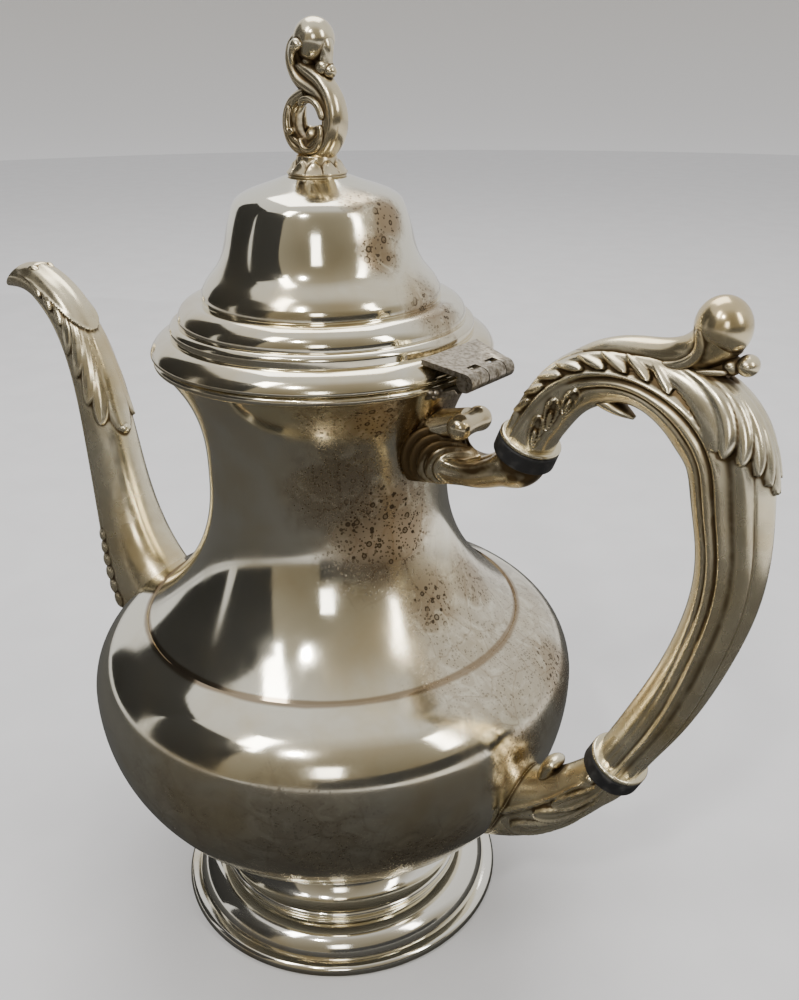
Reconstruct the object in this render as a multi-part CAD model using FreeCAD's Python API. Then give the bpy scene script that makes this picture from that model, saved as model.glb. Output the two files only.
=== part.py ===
"""Coffee pot: a spun, footed pot with a hinged lid, a cast spout and an insulated scroll handle.

Millimetres, +Z up. The origin lies on the pot's axis, in the plane that the foot stands on.
The handle points along +X and the spout along -X.
"""
import FreeCAD
import Part
import math
import os
from FreeCAD import Vector

# Sheet and clearances
WALL = 1.2  # sheet thickness of the spun pieces
FIT = 0.05  # clearance of a piece that is soldered or pinned in another
RUNNING_FIT = 0.05  # radial clearance of the hinge pin in the knuckles that turn on it
LID_GAP = 0.3  # between the closed lid and the mouth
HINGE_GAP = 0.25  # between the knuckles of the two leaves of the hinge

# Foot
FOOT_R = 54.0  # the rim wire's outer radius
FOOT_RIM_WIDTH = 4.5
FOOT_RIM_HEIGHT = 4.0
FOOT_OVOLO_INSET = 3.6  # from the rim's outer edge in to the ovolo
FOOT_OVOLO_WIDTH = 9.5
FOOT_OVOLO_HEIGHT = 7.3
FOOT_OVOLO_BULGE = (0.28, 0.72)  # share of its width and height where the ovolo is fullest
FOOT_BEAD_HEIGHT = 2.2  # bead between the ovolo and the cove
FOOT_COVE_WIDTH = 7.5  # from the bead's edge in to the stem
FOOT_COVE_HEIGHT = 6.1
FOOT_COVE_HOLLOW = (0.68, 0.46)  # share of its width and height where the cove is deepest
FOOT_COLLAR_WIDTH = 1.6
FOOT_COLLAR_HEIGHT = 2.2

# Belly and neck
BELLY_LIFT = 2.4  # from the top of the foot's cove up to the belly's lowest point
BELLY_R = 75.8
BELLY_DEPTH = 63.0  # from the lowest point up to the widest level
BELLY_POWER = 2.1  # fullness of the bowl's outline, where 2 is an ellipse
BOWL_SPANS = 7  # spans of the bowl's outline
SHOULDER_ROUND = 21.0
SHOULDER_RISE = 21.6  # from the widest level up to the crease
CREASE_R = 58.3
CREASE_STEP = 0.5  # how far the neck's skirt lies under the shoulder's skin
NECK_R = 35.6  # radius of the waist
NECK_LOWER = 47.4  # from the crease up to the waist
NECK_UPPER = 32.6  # from the waist up to the lip
NECK_FLARE_POWER = 2.55
NECK_SHARES = (0.4, 0.62, 0.82, 1.0)  # places of the neck's points, from the waist to either end
MOUTH_R = 46.6
MOUTH_RIM_OVERHANG = 1.4
MOUTH_RIM_HEIGHT = 2.4
RIM_ROUND = 1 / 3  # share of a rim's height that its rounded side stands out

# Lid
LID_OVERHANG = 0.6  # beyond the mouth's rim
LID_EDGE = 0.9  # rounding of the lid's lower edge
LID_FLANGE_WIDTH = 5.1
LID_FLANGE_HEIGHT = 5.7
LID_FLANGE_BULGE = (0.32, 0.62)  # share of its width and height where the flange is fullest
LID_BAND_STEP = 0.6
LID_BAND_HEIGHT = 3.4
LID_OVOLO_STEP = 2.4
LID_OVOLO_SIDE = 1.12  # straight side under the ovolo
LID_OVOLO_WIDTH = 5.5
LID_OVOLO_HEIGHT = 5.6
LID_OVOLO_BULGE = (0.28, 0.66)
CROWN_STEP = 1.6
CROWN_FOOT_HEIGHT = 2.4
CROWN_DRAW = 9.5  # how far the bell draws in from its foot to its shoulder
CROWN_HEIGHT = 29.8
CROWN_FLAT_R = 8.8
# The bell is (share of the draw, share of the height), and its cap (share of the shoulder's radius, same)
CROWN_BELL = ((1.0, 0.0), (0.84, 0.09), (0.52, 0.215), (0.3, 0.36), (0.17, 0.53), (0.0, 0.715))
CROWN_CAP = ((0.95, 0.8), (0.83, 0.868), (0.58, 0.94))
BEZEL_DEPTH = 5.4  # how far the bezel reaches into the mouth
BEZEL_GAP = 0.8  # between the bezel and the inside of the neck

# Finial and its fixing
FINIAL_COLLAR_R = 7.9
FINIAL_COLLAR_TOP_R = 5.4
FINIAL_COLLAR_HEIGHT = 5.2
FINIAL_COLLAR_LIP = 0.7
FINIAL_COLLAR_HOLLOW = (0.66, 0.45)  # share of its width and height where the collar is hollowest
FINIAL_HEIGHT = 33.6
FINIAL_STUD_R = 1.6
FINIAL_STUD_GRIP = 5.0  # length of the stud inside the finial
FINIAL_WASHER_R = 5.0
FINIAL_WASHER_THICK = 0.8
FINIAL_NUT_FLATS = 7.0
FINIAL_NUT_HEIGHT = 2.8

# Hinge
HINGE_REACH = 7.4  # from the lid's edge out to the pin
HINGE_RISE = 1.7  # from the lid's underside up to the pin
HINGE_LENGTH = 19.4
HINGE_KNUCKLES = 5
HINGE_BARREL_R = 2.5
HINGE_PIN_R = 1.0
HINGE_LEAF_THICK = 1.4
HINGE_NOTCH_ROOM = 1.1  # between a leaf's notch and the knuckle of the other leaf that turns in it
HINGE_LEAF_FLARE = 2.6  # how much wider each side of the lid's leaf is at its inner end
HINGE_LEAF_INSET = 1.0  # from the top of the lid's flange out to the leaf
HINGE_LEAF_SINK = 0.5  # how far the leaf is let into the flange there
HINGE_BRACE_FALL = 0.3  # fall of the body's leaf for each millimetre in from the lid's edge

# Spout: each station is (reach beyond the belly, share of the rise, half depth, half width)
SPOUT_RISE = 105.5  # from the belly's widest level up to the spout's crest
SPOUT_WALL = 1.6
SPOUT_LINE = (
    (-17.0, -0.190, 22.0, 14.0),
    (4.5, -0.130, 20.5, 14.5),
    (18.0, -0.005, 17.0, 13.6),
    (25.3, 0.155, 12.8, 11.6),
    (29.6, 0.332, 10.5, 9.9),
    (32.7, 0.521, 9.2, 9.0),
    (37.2, 0.711, 8.2, 7.9),
    (45.6, 0.877, 7.3, 7.0),
    (57.5, 0.972, 6.2, 6.3),
    (68.6, 1.003, 5.3, 5.8),
    (84.2, 0.981, 2.8, 3.6),
)
SPOUT_LIP = (82.0, 0.966)  # the beak's tip: reach beyond the belly, share of the rise
SPOUT_BROW = (70.6, 1.049)  # upper edge of the mouth
SPOUT_CURL = (63.5, 1.035)  # bead behind the mouth's upper edge
SPOUT_CURL_R = 2.6

# Insulating rings: centre of each and the slope of its axis in the handle's plane
UPPER_RING_REACH = 33.4  # from the neck's waist
UPPER_RING_DROP = 12.6  # below the lip
UPPER_RING_SLOPE = 68.0
LOWER_RING_REACH = 25.4  # from the belly's widest radius
LOWER_RING_RISE = 5.0  # above the belly's widest level
LOWER_RING_SLOPE = 64.0
RING_R = 8.2
RING_THICK = 4.8
RING_EDGE = 0.6
RING_PROUD = 1.5  # how far the ring stands out round the socket and the handle
SPIGOT_R = 3.2
SOCKET_SPIGOT = 4.0  # length of the spigot in the socket
HANDLE_SPIGOT = 7.0  # length of the spigot through the collar and into the handle
COLLAR_THICK = 1.4
COLLAR_EDGE = 0.6
CROSS_PIN_R = 0.6
CROSS_PIN_INSET = 2.2  # from the end of the socket or handle to its pin
CROSS_PIN_SINK = 0.4  # how far each end of a pin lies below the casting's skin

# Sockets: each station is (share of the ring's reach, drop below the ring, half depth, half width)
UPPER_SOCKET_LINE = (
    (-0.168, 6.0, 12.0, 8.5),
    (0.132, 7.6, 9.4, 8.0),
    (0.386, 9.4, 5.6, 6.4),
    (0.611, 8.9, 5.1, 5.8),
    (0.82, 6.0, 5.9, 6.0),
)
SCROLL_WEB_LINE = ((-0.078, 3.0, 6.0, 6.5), (0.192, -0.2, 4.6, 6.2), (0.467, -4.2, 3.0, 5.4))
SCROLL_R = 3.9
SCROLL_LENGTH = 13.0
SCROLL_EDGE = 1.4
LOWER_SOCKET_LINE = (
    (-0.685, 31.0, 13.5, 9.5),
    (-0.146, 26.0, 11.6, 9.0),
    (0.192, 21.5, 9.4, 8.4),
    (0.504, 15.6, 7.8, 7.4),
    (0.754, 9.0, 6.9, 6.8),
)
SOCKET_BUMP_R = 3.0
SOCKET_BUMP = (0.277, 8.2)  # share of the ring's reach, drop below the ring

# Handle: each station is (share of the rise from the lower to the upper ring, bow, half depth, half width)
HANDLE_LINE = (
    (1.126, 9.0, 7.0, 6.4),
    (1.214, 17.5, 7.2, 6.6),
    (1.277, 28.4, 7.2, 6.6),
    (1.293, 39.0, 7.2, 6.6),
    (1.269, 46.9, 8.6, 6.8),
    (1.208, 53.6, 10.4, 7.0),
    (1.125, 55.9, 10.1, 7.0),
    (1.006, 54.4, 9.6, 6.9),
    (0.869, 51.6, 8.8, 6.7),
    (0.720, 46.6, 8.1, 6.5),
    (0.560, 38.6, 7.6, 6.4),
    (0.399, 28.9, 7.4, 6.4),
    (0.232, 17.3, 7.2, 6.4),
)
HANDLE_CREST = 3  # the station under the thumb scroll
FLUTE_ANGLES = (45, 75, 285, 315)  # places of the flutes round the section, from the inner side
FLUTE_DEPTH = 0.9
# Leaf that hangs inside the arch: (along, above) the handle's crest, half depth, half width
ARCH_LEAF = ((-11.0, -6.0, 2.2, 3.6), (-7.0, -7.8, 1.9, 3.4), (-3.5, -9.2, 1.3, 2.4), (-0.8, -10.2, 0.5, 0.9))
# Thumb scroll: (along, above) the handle's crest, and the radius there
THUMB_STRAND = (
    (-20.0, -3.0, 3.4),
    (-14.0, 1.2, 3.6),
    (-8.0, 4.0, 3.7),
    (-2.0, 5.4, 3.7),
    (6.0, 6.1, 3.5),
    (11.4, 7.6, 3.8),
    (15.4, 10.4, 5.0),
    (17.6, 13.4, 6.2),
)
THUMB_CURL = ((2.0, 3.2, 3.4), (12.0, 4.2, 2.8), (20.0, 5.6, 2.2))
KNOB = (17.8, 14.5, 6.7)
THUMB_BEADS = ((20.4, 6.6, 2.5), (24.4, 6.8, 2.9))

# Finial: (across, above its base, half depth, half width) of each strand
FINIAL_RIBBON = (
    (1.2, 1.0, 4.0, 4.2),
    (6.4, 6.2, 3.2, 4.0),
    (6.4, 12.2, 3.3, 3.8),
    (2.6, 16.8, 3.9, 3.6),
    (-2.6, 19.6, 4.1, 3.5),
    (-5.6, 23.2, 3.3, 3.3),
    (-5.2, 26.8, 2.4, 3.1),
    (-2.6, 28.8, 2.2, 3.0),
)
FINIAL_SCROLL = (
    (-1.6, 15.4, 1.9, 3.0),
    (-6.2, 13.0, 2.1, 3.2),
    (-8.2, 8.0, 2.3, 3.4),
    (-6.2, 3.2, 2.5, 3.6),
    (0.0, 1.4, 2.6, 3.8),
)
FINIAL_BULB = (0.6, 28.2, 5.4)
FINIAL_BEADS = ((3.6, 22.3, 2.4), (0.2, 5.4, 2.3))
FINIAL_BOSS_R = 5.0
FINIAL_BOSS_TOP_R = 4.0
FINIAL_BOSS_HEIGHT = 2.0

SECTION_POINTS = 24
X_AXIS = Vector(1, 0, 0)
Y_AXIS = Vector(0, 1, 0)
Z_AXIS = Vector(0, 0, 1)

# Radii, levels and places that follow from the sizes above
FOOT_OVOLO_R = FOOT_R - FOOT_OVOLO_INSET
FOOT_BEAD_R = FOOT_OVOLO_R - FOOT_OVOLO_WIDTH
FOOT_STEM_R = FOOT_BEAD_R - FOOT_COVE_WIDTH
MOUTH_RIM_R = MOUTH_R + MOUTH_RIM_OVERHANG
LID_R = MOUTH_RIM_R + LID_OVERHANG
LID_FLANGE_TOP_R = LID_R - LID_FLANGE_WIDTH
LID_BAND_R = LID_FLANGE_TOP_R - LID_BAND_STEP
LID_OVOLO_R = LID_BAND_R - LID_OVOLO_STEP
LID_OVOLO_TOP_R = LID_OVOLO_R - LID_OVOLO_WIDTH
CROWN_FOOT_R = LID_OVOLO_TOP_R - CROWN_STEP
CROWN_R = CROWN_FOOT_R - CROWN_DRAW
FOOT_BEAD_Z = FOOT_RIM_HEIGHT + FOOT_OVOLO_HEIGHT
FOOT_COVE_Z = FOOT_BEAD_Z + FOOT_BEAD_HEIGHT
FOOT_STEM_Z = FOOT_COVE_Z + FOOT_COVE_HEIGHT
BELLY_BASE_Z = FOOT_STEM_Z + BELLY_LIFT
BELLY_Z = BELLY_BASE_Z + BELLY_DEPTH
CREASE_Z = BELLY_Z + SHOULDER_RISE
WAIST_Z = CREASE_Z + NECK_LOWER
LIP_Z = WAIST_Z + NECK_UPPER
MOUTH_Z = LIP_Z + MOUTH_RIM_HEIGHT
LID_Z = MOUTH_Z + LID_GAP
BAND_Z = LID_Z + LID_FLANGE_HEIGHT
OVOLO_Z = BAND_Z + LID_BAND_HEIGHT
CROWN_Z = OVOLO_Z + LID_OVOLO_HEIGHT
CROWN_BASE_Z = CROWN_Z + CROWN_FOOT_HEIGHT
LID_TOP_Z = CROWN_BASE_Z + CROWN_HEIGHT
FINIAL_Z = LID_TOP_Z + FINIAL_COLLAR_HEIGHT
HINGE = Vector(LID_R + HINGE_REACH, 0, LID_Z + HINGE_RISE)
UPPER_RING = Vector(NECK_R + UPPER_RING_REACH, 0, LIP_Z - UPPER_RING_DROP)
LOWER_RING = Vector(BELLY_R + LOWER_RING_REACH, 0, BELLY_Z + LOWER_RING_RISE)
CAST_END_R = RING_R - RING_PROUD


def at(r, z):
    """Point of the XZ plane."""
    return Vector(r, 0, z)


def slope(degrees):
    """Direction in the XZ plane, turned up from +X."""
    return Vector(math.cos(math.radians(degrees)), 0, math.sin(math.radians(degrees)))


UPPER_AXIS = slope(UPPER_RING_SLOPE)
LOWER_AXIS = slope(LOWER_RING_SLOPE)
BELL_START = slope(107)
BELL_END = slope(163)


def between(start, end, shares):
    """Point of the box from start to end, at a share of its width and a share of its height."""
    across, up = shares
    return at(start.x + (end.x - start.x) * across, start.z + (end.z - start.z) * up)


def line(a, b):
    return Part.LineSegment(a, b).toShape()


def arc(a, middle, b):
    return Part.Arc(a, middle, b).toShape()


def curve(points, start=None, end=None):
    """Smooth curve through points, with both end directions or neither."""
    spline = Part.BSplineCurve()
    if start is None:
        spline.interpolate(Points=points)
    else:
        spline.interpolate(Points=points, InitialTangent=start, FinalTangent=end)
    return spline


def turned(edges):
    """Solid of a closed outline in the XZ plane, turned about the pot's axis."""
    outline = Part.Wire(Part.__sortEdges__(edges))
    return Part.Face(outline).revolve(Vector(), Z_AXIS, 360)


def chain(points):
    """Straight edges from each point to the next."""
    return [line(a, b) for a, b in zip(points, points[1:])]


def section(centre, direction, half_depth, half_width, flute=0.0):
    """Closed oval across a direction of the XZ plane, with optional flutes on its two flanks."""
    outward = Vector(direction.z, 0, -direction.x)
    points = []
    for step in range(SECTION_POINTS):
        degrees = round(360 * step / SECTION_POINTS)
        inset = flute if degrees in FLUTE_ANGLES else 0.0
        angle = math.radians(degrees)
        depth = half_depth * math.cos(angle)
        width = math.sin(angle) * (half_width - inset)
        points.append(centre + outward * depth + Y_AXIS * width)
    oval = Part.BSplineCurve()
    oval.interpolate(Points=points, PeriodicFlag=True)
    return Part.Wire(oval.toShape())


def swelled(stations, start=None, end=None, flute=0.0, inset=0.0):
    """Solid through ovals along a curve in the XZ plane.

    A station is (x, z, half depth, half width). The inset makes every oval smaller, for a bore.
    """
    centres = [at(x, z) for x, z, _, _ in stations]
    path = curve(centres, start, end)
    ovals = []
    for centre, (_, _, depth, width) in zip(centres, stations):
        direction = path.tangent(path.parameter(centre))[0]
        ovals.append(section(centre, direction, depth - inset, width - inset, flute))
    return Part.makeLoft(ovals, True)


def strand(stations):
    """Round tapering strand through (x, z, radius)."""
    return swelled([(x, z, radius, radius) for x, z, radius in stations])


def ball(x, z, radius):
    return Part.makeSphere(radius, at(x, z))


def joined(first, *others):
    """One solid from pieces that are cast together."""
    return first.fuse(list(others)).removeSplitter().Solids[0]


def disc(radius, height, base, axis):
    return Part.makeCylinder(radius, height, base, axis)


def rounded_disc(radius, height, base, axis, edge):
    """Disc with both rims rounded."""
    plate = disc(radius, height, base, axis)
    rims = [rim for rim in plate.Edges if rim.Curve.TypeId == "Part::GeomCircle"]
    return plate.makeFillet(edge, rims)


def bowl(inset):
    """The belly's outline from its lowest point to its widest level."""
    points = []
    for step in range(BOWL_SPANS + 1):
        angle = math.radians(90 * step / BOWL_SPANS)
        r = (BELLY_R - inset) * math.sin(angle) ** (2 / BELLY_POWER)
        drop = (BELLY_DEPTH - inset) * math.cos(angle) ** (2 / BELLY_POWER)
        points.append(at(r, BELLY_Z - drop))
    return curve(points, X_AXIS, Z_AXIS).toShape()


def shoulder_direction():
    """Direction square to the shoulder's slope, out of the pot."""
    centre = at(BELLY_R - SHOULDER_ROUND, BELLY_Z)
    to_crease = at(CREASE_R, CREASE_Z) - centre
    angle = math.atan2(to_crease.z, to_crease.x) - math.acos(SHOULDER_ROUND / to_crease.Length)
    return slope(math.degrees(angle))


SHOULDER_OUT = shoulder_direction()


def crease_point(inset):
    """Point on the joint of belly and neck, below the shoulder's skin by the inset."""
    return at(CREASE_R, CREASE_Z) - SHOULDER_OUT * inset


def shoulder(inset):
    """The belly's outline from its widest level to the crease."""
    centre = at(BELLY_R - SHOULDER_ROUND, BELLY_Z)
    radius = SHOULDER_ROUND - inset
    middle = (X_AXIS + SHOULDER_OUT).normalize()
    tangent = centre + SHOULDER_OUT * radius
    return [
        arc(centre + X_AXIS * radius, centre + middle * radius, tangent),
        line(tangent, crease_point(inset)),
    ]


def belly_skin(inset):
    return [bowl(inset)] + shoulder(inset)


def flare(share, end_r, rise):
    """The neck's radius and steepness at a share of the rise from the waist to one end."""
    spread = end_r - NECK_R
    steepness = NECK_FLARE_POWER * spread / rise * share ** (NECK_FLARE_POWER - 1)
    return NECK_R + spread * share ** NECK_FLARE_POWER, steepness


def neck_skin(inset):
    """Points of the neck's outline from the crease to the lip."""
    foot = crease_point(CREASE_STEP)
    lower_rise = WAIST_Z - foot.z
    points = [crease_point(CREASE_STEP + inset)]
    for share in NECK_SHARES[-2::-1]:
        r, steepness = flare(share, foot.x, lower_rise)
        out = Vector(1, 0, steepness).normalize()
        points.append(at(r, WAIST_Z - share * lower_rise) - out * inset)
    points.append(at(NECK_R - inset, WAIST_Z))
    for share in NECK_SHARES:
        r, steepness = flare(share, MOUTH_R, NECK_UPPER)
        points.append(at(r - inset * math.hypot(1, steepness), WAIST_Z + share * NECK_UPPER))
    return points


def body_core():
    """The pot's body as if it were solid, which fits cast pieces to its skin."""
    neck = neck_skin(0)
    edges = belly_skin(0) + [line(crease_point(0), neck[0]), curve(neck).toShape()]
    edges += chain([neck[-1], at(0, LIP_Z), at(0, BELLY_BASE_Z)])
    return turned(edges)


BODY_CORE = body_core()


def foot():
    """Spun foot: ovolo, bead, cove and a stem that ends on the belly."""
    bead_round = FOOT_BEAD_HEIGHT / 2

    def skin(inset):
        ovolo_foot = at(FOOT_OVOLO_R - inset, FOOT_RIM_HEIGHT)
        ovolo_top = at(FOOT_BEAD_R - inset, FOOT_BEAD_Z - inset)
        ovolo_bulge = between(ovolo_foot, ovolo_top, FOOT_OVOLO_BULGE)
        bead_foot = at(FOOT_BEAD_R - bead_round - inset, FOOT_BEAD_Z - inset)
        bead_side = at(FOOT_BEAD_R - inset, FOOT_BEAD_Z + bead_round - inset)
        cove_foot = at(FOOT_BEAD_R - bead_round - inset, FOOT_COVE_Z - inset)
        cove_top = at(FOOT_STEM_R - inset, FOOT_STEM_Z - inset)
        return [
            arc(ovolo_foot, ovolo_bulge, ovolo_top),
            line(ovolo_top, bead_foot),
            arc(bead_foot, bead_side, cove_foot),
            arc(cove_foot, between(cove_foot, cove_top, FOOT_COVE_HOLLOW), cove_top),
            line(cove_top, at(FOOT_STEM_R - inset, BELLY_Z)),
        ]

    edges = skin(0) + skin(WALL)
    edges.append(line(at(FOOT_OVOLO_R, FOOT_RIM_HEIGHT), at(FOOT_OVOLO_R - WALL, FOOT_RIM_HEIGHT)))
    edges.append(line(at(FOOT_STEM_R, BELLY_Z), at(FOOT_STEM_R - WALL, BELLY_Z)))
    return turned(edges).cut(BODY_CORE)


def foot_rim():
    """Round wire under the foot's edge, flat where it stands."""
    inner = FOOT_R - FOOT_RIM_WIDTH
    flat = FOOT_R - FOOT_RIM_HEIGHT * RIM_ROUND
    edges = chain([at(flat, FOOT_RIM_HEIGHT), at(inner, FOOT_RIM_HEIGHT), at(inner, 0), at(flat, 0)])
    edges.append(arc(at(flat, 0), at(FOOT_R, FOOT_RIM_HEIGHT / 2), at(flat, FOOT_RIM_HEIGHT)))
    return turned(edges)


def foot_collar():
    """Bead ring round the top of the foot's stem."""
    low = at(FOOT_STEM_R, FOOT_STEM_Z)
    high = at(FOOT_STEM_R, FOOT_STEM_Z + FOOT_COLLAR_HEIGHT)
    side = at(FOOT_STEM_R + FOOT_COLLAR_WIDTH, FOOT_STEM_Z + FOOT_COLLAR_HEIGHT / 2)
    return turned([arc(low, side, high), line(high, low)])


def belly_shell(bore):
    edges = belly_skin(0) + belly_skin(WALL)
    edges.append(line(crease_point(0), crease_point(WALL)))
    edges.append(line(at(0, BELLY_BASE_Z), at(0, BELLY_BASE_Z + WALL)))
    return turned(edges).cut(bore)


def neck_shell():
    outer = neck_skin(0)
    inner = neck_skin(WALL)
    edges = [curve(outer).toShape(), curve(inner).toShape()]
    edges += [line(outer[0], inner[0]), line(outer[-1], inner[-1])]
    return turned(edges)


def mouth_rim():
    """Wire on the neck's lip, rounded outside."""
    inner = neck_skin(WALL)[-1].x
    round_in = MOUTH_RIM_R - MOUTH_RIM_HEIGHT * RIM_ROUND
    edges = chain([at(round_in, MOUTH_Z), at(inner, MOUTH_Z), at(inner, LIP_Z), at(round_in, LIP_Z)])
    side = at(MOUTH_RIM_R, LIP_Z + MOUTH_RIM_HEIGHT / 2)
    edges.append(arc(at(round_in, LIP_Z), side, at(round_in, MOUTH_Z)))
    return turned(edges)


def lid_skin(inset):
    """The lid's stepped outline from the band to the flat of the crown, moved in and down by the inset."""
    def step(r, z):
        return at(r - inset, z - inset)

    band_round = LID_BAND_HEIGHT / 2
    band_in = LID_BAND_R - band_round
    diagonal = band_round * math.sqrt(0.5)
    band_side = step(LID_BAND_R, BAND_Z + band_round)
    band_shoulder = step(band_in + diagonal, BAND_Z + band_round + diagonal)
    ovolo_side = step(LID_OVOLO_R, OVOLO_Z + LID_OVOLO_SIDE)
    ovolo_top = step(LID_OVOLO_TOP_R, CROWN_Z)
    bell = [step(CROWN_R + CROWN_DRAW * out, CROWN_BASE_Z + CROWN_HEIGHT * up) for out, up in CROWN_BELL]
    bell += [step(CROWN_R * out, CROWN_BASE_Z + CROWN_HEIGHT * up) for out, up in CROWN_CAP]
    bell.append(step(CROWN_FLAT_R, LID_TOP_Z))
    return [
        line(step(LID_BAND_R, BAND_Z), band_side),
        arc(band_side, band_shoulder, step(band_in, OVOLO_Z)),
        line(step(band_in, OVOLO_Z), step(LID_OVOLO_R, OVOLO_Z)),
        line(step(LID_OVOLO_R, OVOLO_Z), ovolo_side),
        arc(ovolo_side, between(ovolo_side, ovolo_top, LID_OVOLO_BULGE), ovolo_top),
        line(ovolo_top, step(CROWN_FOOT_R, CROWN_Z)),
        line(step(CROWN_FOOT_R, CROWN_Z), bell[0]),
        curve(bell, BELL_START, BELL_END).toShape(),
    ]


def lid_dome():
    """Spun lid: rolled flange, band, ovolo and bell-shaped crown, with a hole for the finial's stud."""
    hole = FINIAL_STUD_R + FIT
    edge_low = at(LID_R - LID_EDGE, LID_Z)
    edge_side = at(LID_R, LID_Z + LID_EDGE)
    rounding = LID_EDGE * (1 - math.sqrt(0.5))
    flange_top = at(LID_FLANGE_TOP_R, BAND_Z)
    seat_r = LID_BAND_R - WALL
    inner_top = LID_TOP_Z - WALL
    edges = [
        arc(edge_low, at(LID_R - rounding, LID_Z + rounding), edge_side),
        arc(edge_side, between(edge_side, flange_top, LID_FLANGE_BULGE), flange_top),
        line(flange_top, at(LID_BAND_R, BAND_Z)),
    ]
    edges += lid_skin(0) + lid_skin(WALL)
    edges += chain([at(CROWN_FLAT_R, LID_TOP_Z), at(hole, LID_TOP_Z), at(hole, inner_top),
                    at(CROWN_FLAT_R - WALL, inner_top)])
    edges += chain([edge_low, at(seat_r, LID_Z), at(seat_r, BAND_Z - WALL)])
    return turned(edges)


def lid_bezel():
    """Tapering ring under the lid's flange that drops into the mouth."""
    low_z = LID_Z - BEZEL_DEPTH
    neck_r, steepness = flare((low_z - WAIST_Z) / NECK_UPPER, MOUTH_R, NECK_UPPER)
    low = at(neck_r - WALL * math.hypot(1, steepness) - BEZEL_GAP, low_z)
    high = at(neck_skin(WALL)[-1].x - BEZEL_GAP, LID_Z)
    thickness = X_AXIS * WALL
    return turned(chain([low, high, high - thickness, low - thickness, low]))


def finial_collar():
    """Flared base under the finial, bored for the stud."""
    hole = FINIAL_STUD_R + FIT
    low = at(FINIAL_COLLAR_R, LID_TOP_Z)
    lip = at(FINIAL_COLLAR_R, LID_TOP_Z + FINIAL_COLLAR_LIP)
    high = at(FINIAL_COLLAR_TOP_R, FINIAL_Z)
    edges = chain([high, at(hole, FINIAL_Z), at(hole, LID_TOP_Z), low, lip])
    edges.append(arc(lip, between(lip, high, FINIAL_COLLAR_HOLLOW), high))
    return turned(edges)


def finial():
    """Cast openwork swirl: an S-shaped ribbon, a C-scroll round the opening, a bulb and curled beads."""
    def raised(stations):
        return [(x, FINIAL_Z + z) + tuple(size) for x, z, *size in stations]

    ribbon = swelled(raised(FINIAL_RIBBON))
    scroll = swelled(raised(FINIAL_SCROLL))
    balls = [ball(*bead) for bead in raised((FINIAL_BULB,) + FINIAL_BEADS)]
    boss = Part.makeCone(FINIAL_BOSS_R, FINIAL_BOSS_TOP_R, FINIAL_BOSS_HEIGHT, at(0, FINIAL_Z))
    below = disc(FINIAL_COLLAR_R * 2, FINIAL_HEIGHT, at(0, FINIAL_Z), -Z_AXIS)
    hole = disc(FINIAL_STUD_R + FIT, FINIAL_STUD_GRIP, at(0, FINIAL_Z), Z_AXIS)
    return joined(ribbon, scroll, boss, *balls).cut(below).cut(hole)


def finial_stud():
    low = LID_TOP_Z - WALL - FINIAL_WASHER_THICK - FINIAL_NUT_HEIGHT
    return disc(FINIAL_STUD_R, FINIAL_Z + FINIAL_STUD_GRIP - low, at(0, low), Z_AXIS)


def finial_washer():
    top = at(0, LID_TOP_Z - WALL)
    plate = disc(FINIAL_WASHER_R, FINIAL_WASHER_THICK, top, -Z_AXIS)
    return plate.cut(disc(FINIAL_STUD_R + FIT, FINIAL_WASHER_THICK, top, -Z_AXIS))


def finial_nut():
    low = at(0, LID_TOP_Z - WALL - FINIAL_WASHER_THICK - FINIAL_NUT_HEIGHT)
    corner = FINIAL_NUT_FLATS / math.sqrt(3)
    corners = []
    for side in range(7):
        angle = math.radians(60 * side)
        corners.append(low + Vector(math.cos(angle), math.sin(angle), 0) * corner)
    prism = Part.Face(Part.makePolygon(corners)).extrude(Z_AXIS * FINIAL_NUT_HEIGHT)
    return prism.cut(disc(FINIAL_STUD_R + FIT, FINIAL_NUT_HEIGHT, low, Z_AXIS))


def barrel(knuckle, radius, gap):
    """One knuckle's cylinder along the hinge, longer by the gap at each end."""
    length = HINGE_LENGTH / HINGE_KNUCKLES
    start = HINGE + Y_AXIS * (knuckle * length - HINGE_LENGTH / 2 - gap)
    return disc(radius, length + 2 * gap, start, Y_AXIS)


def hinge_leaf(plate, own, other, bore_r):
    """A plate with its own knuckles, notched round the other leaf's knuckles."""
    notches = [barrel(knuckle, HINGE_BARREL_R + HINGE_NOTCH_ROOM, HINGE_GAP / 2) for knuckle in other]
    knuckles = [barrel(knuckle, HINGE_BARREL_R, -HINGE_GAP / 2) for knuckle in own]
    bore = disc(bore_r, HINGE_LENGTH * 2, HINGE - Y_AXIS * HINGE_LENGTH, Y_AXIS)
    return joined(plate.cut(Part.makeCompound(notches)), *knuckles).cut(bore)


def lid_knuckles():
    return range(0, HINGE_KNUCKLES, 2)


def body_knuckles():
    return range(1, HINGE_KNUCKLES, 2)


def tapered_plate(outer, inner, thick, outer_half, inner_half):
    """Plate from one edge along Y to another, with its thickness below the line that joins them."""
    drop = Vector(0, 0, -thick)
    outer_edge = [outer - Y_AXIS * outer_half, outer + Y_AXIS * outer_half]
    inner_edge = [inner + Y_AXIS * inner_half, inner - Y_AXIS * inner_half]
    rim = outer_edge + inner_edge
    top = Part.Face(Part.makePolygon(rim + rim[:1]))
    return top.extrude(drop)


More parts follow.
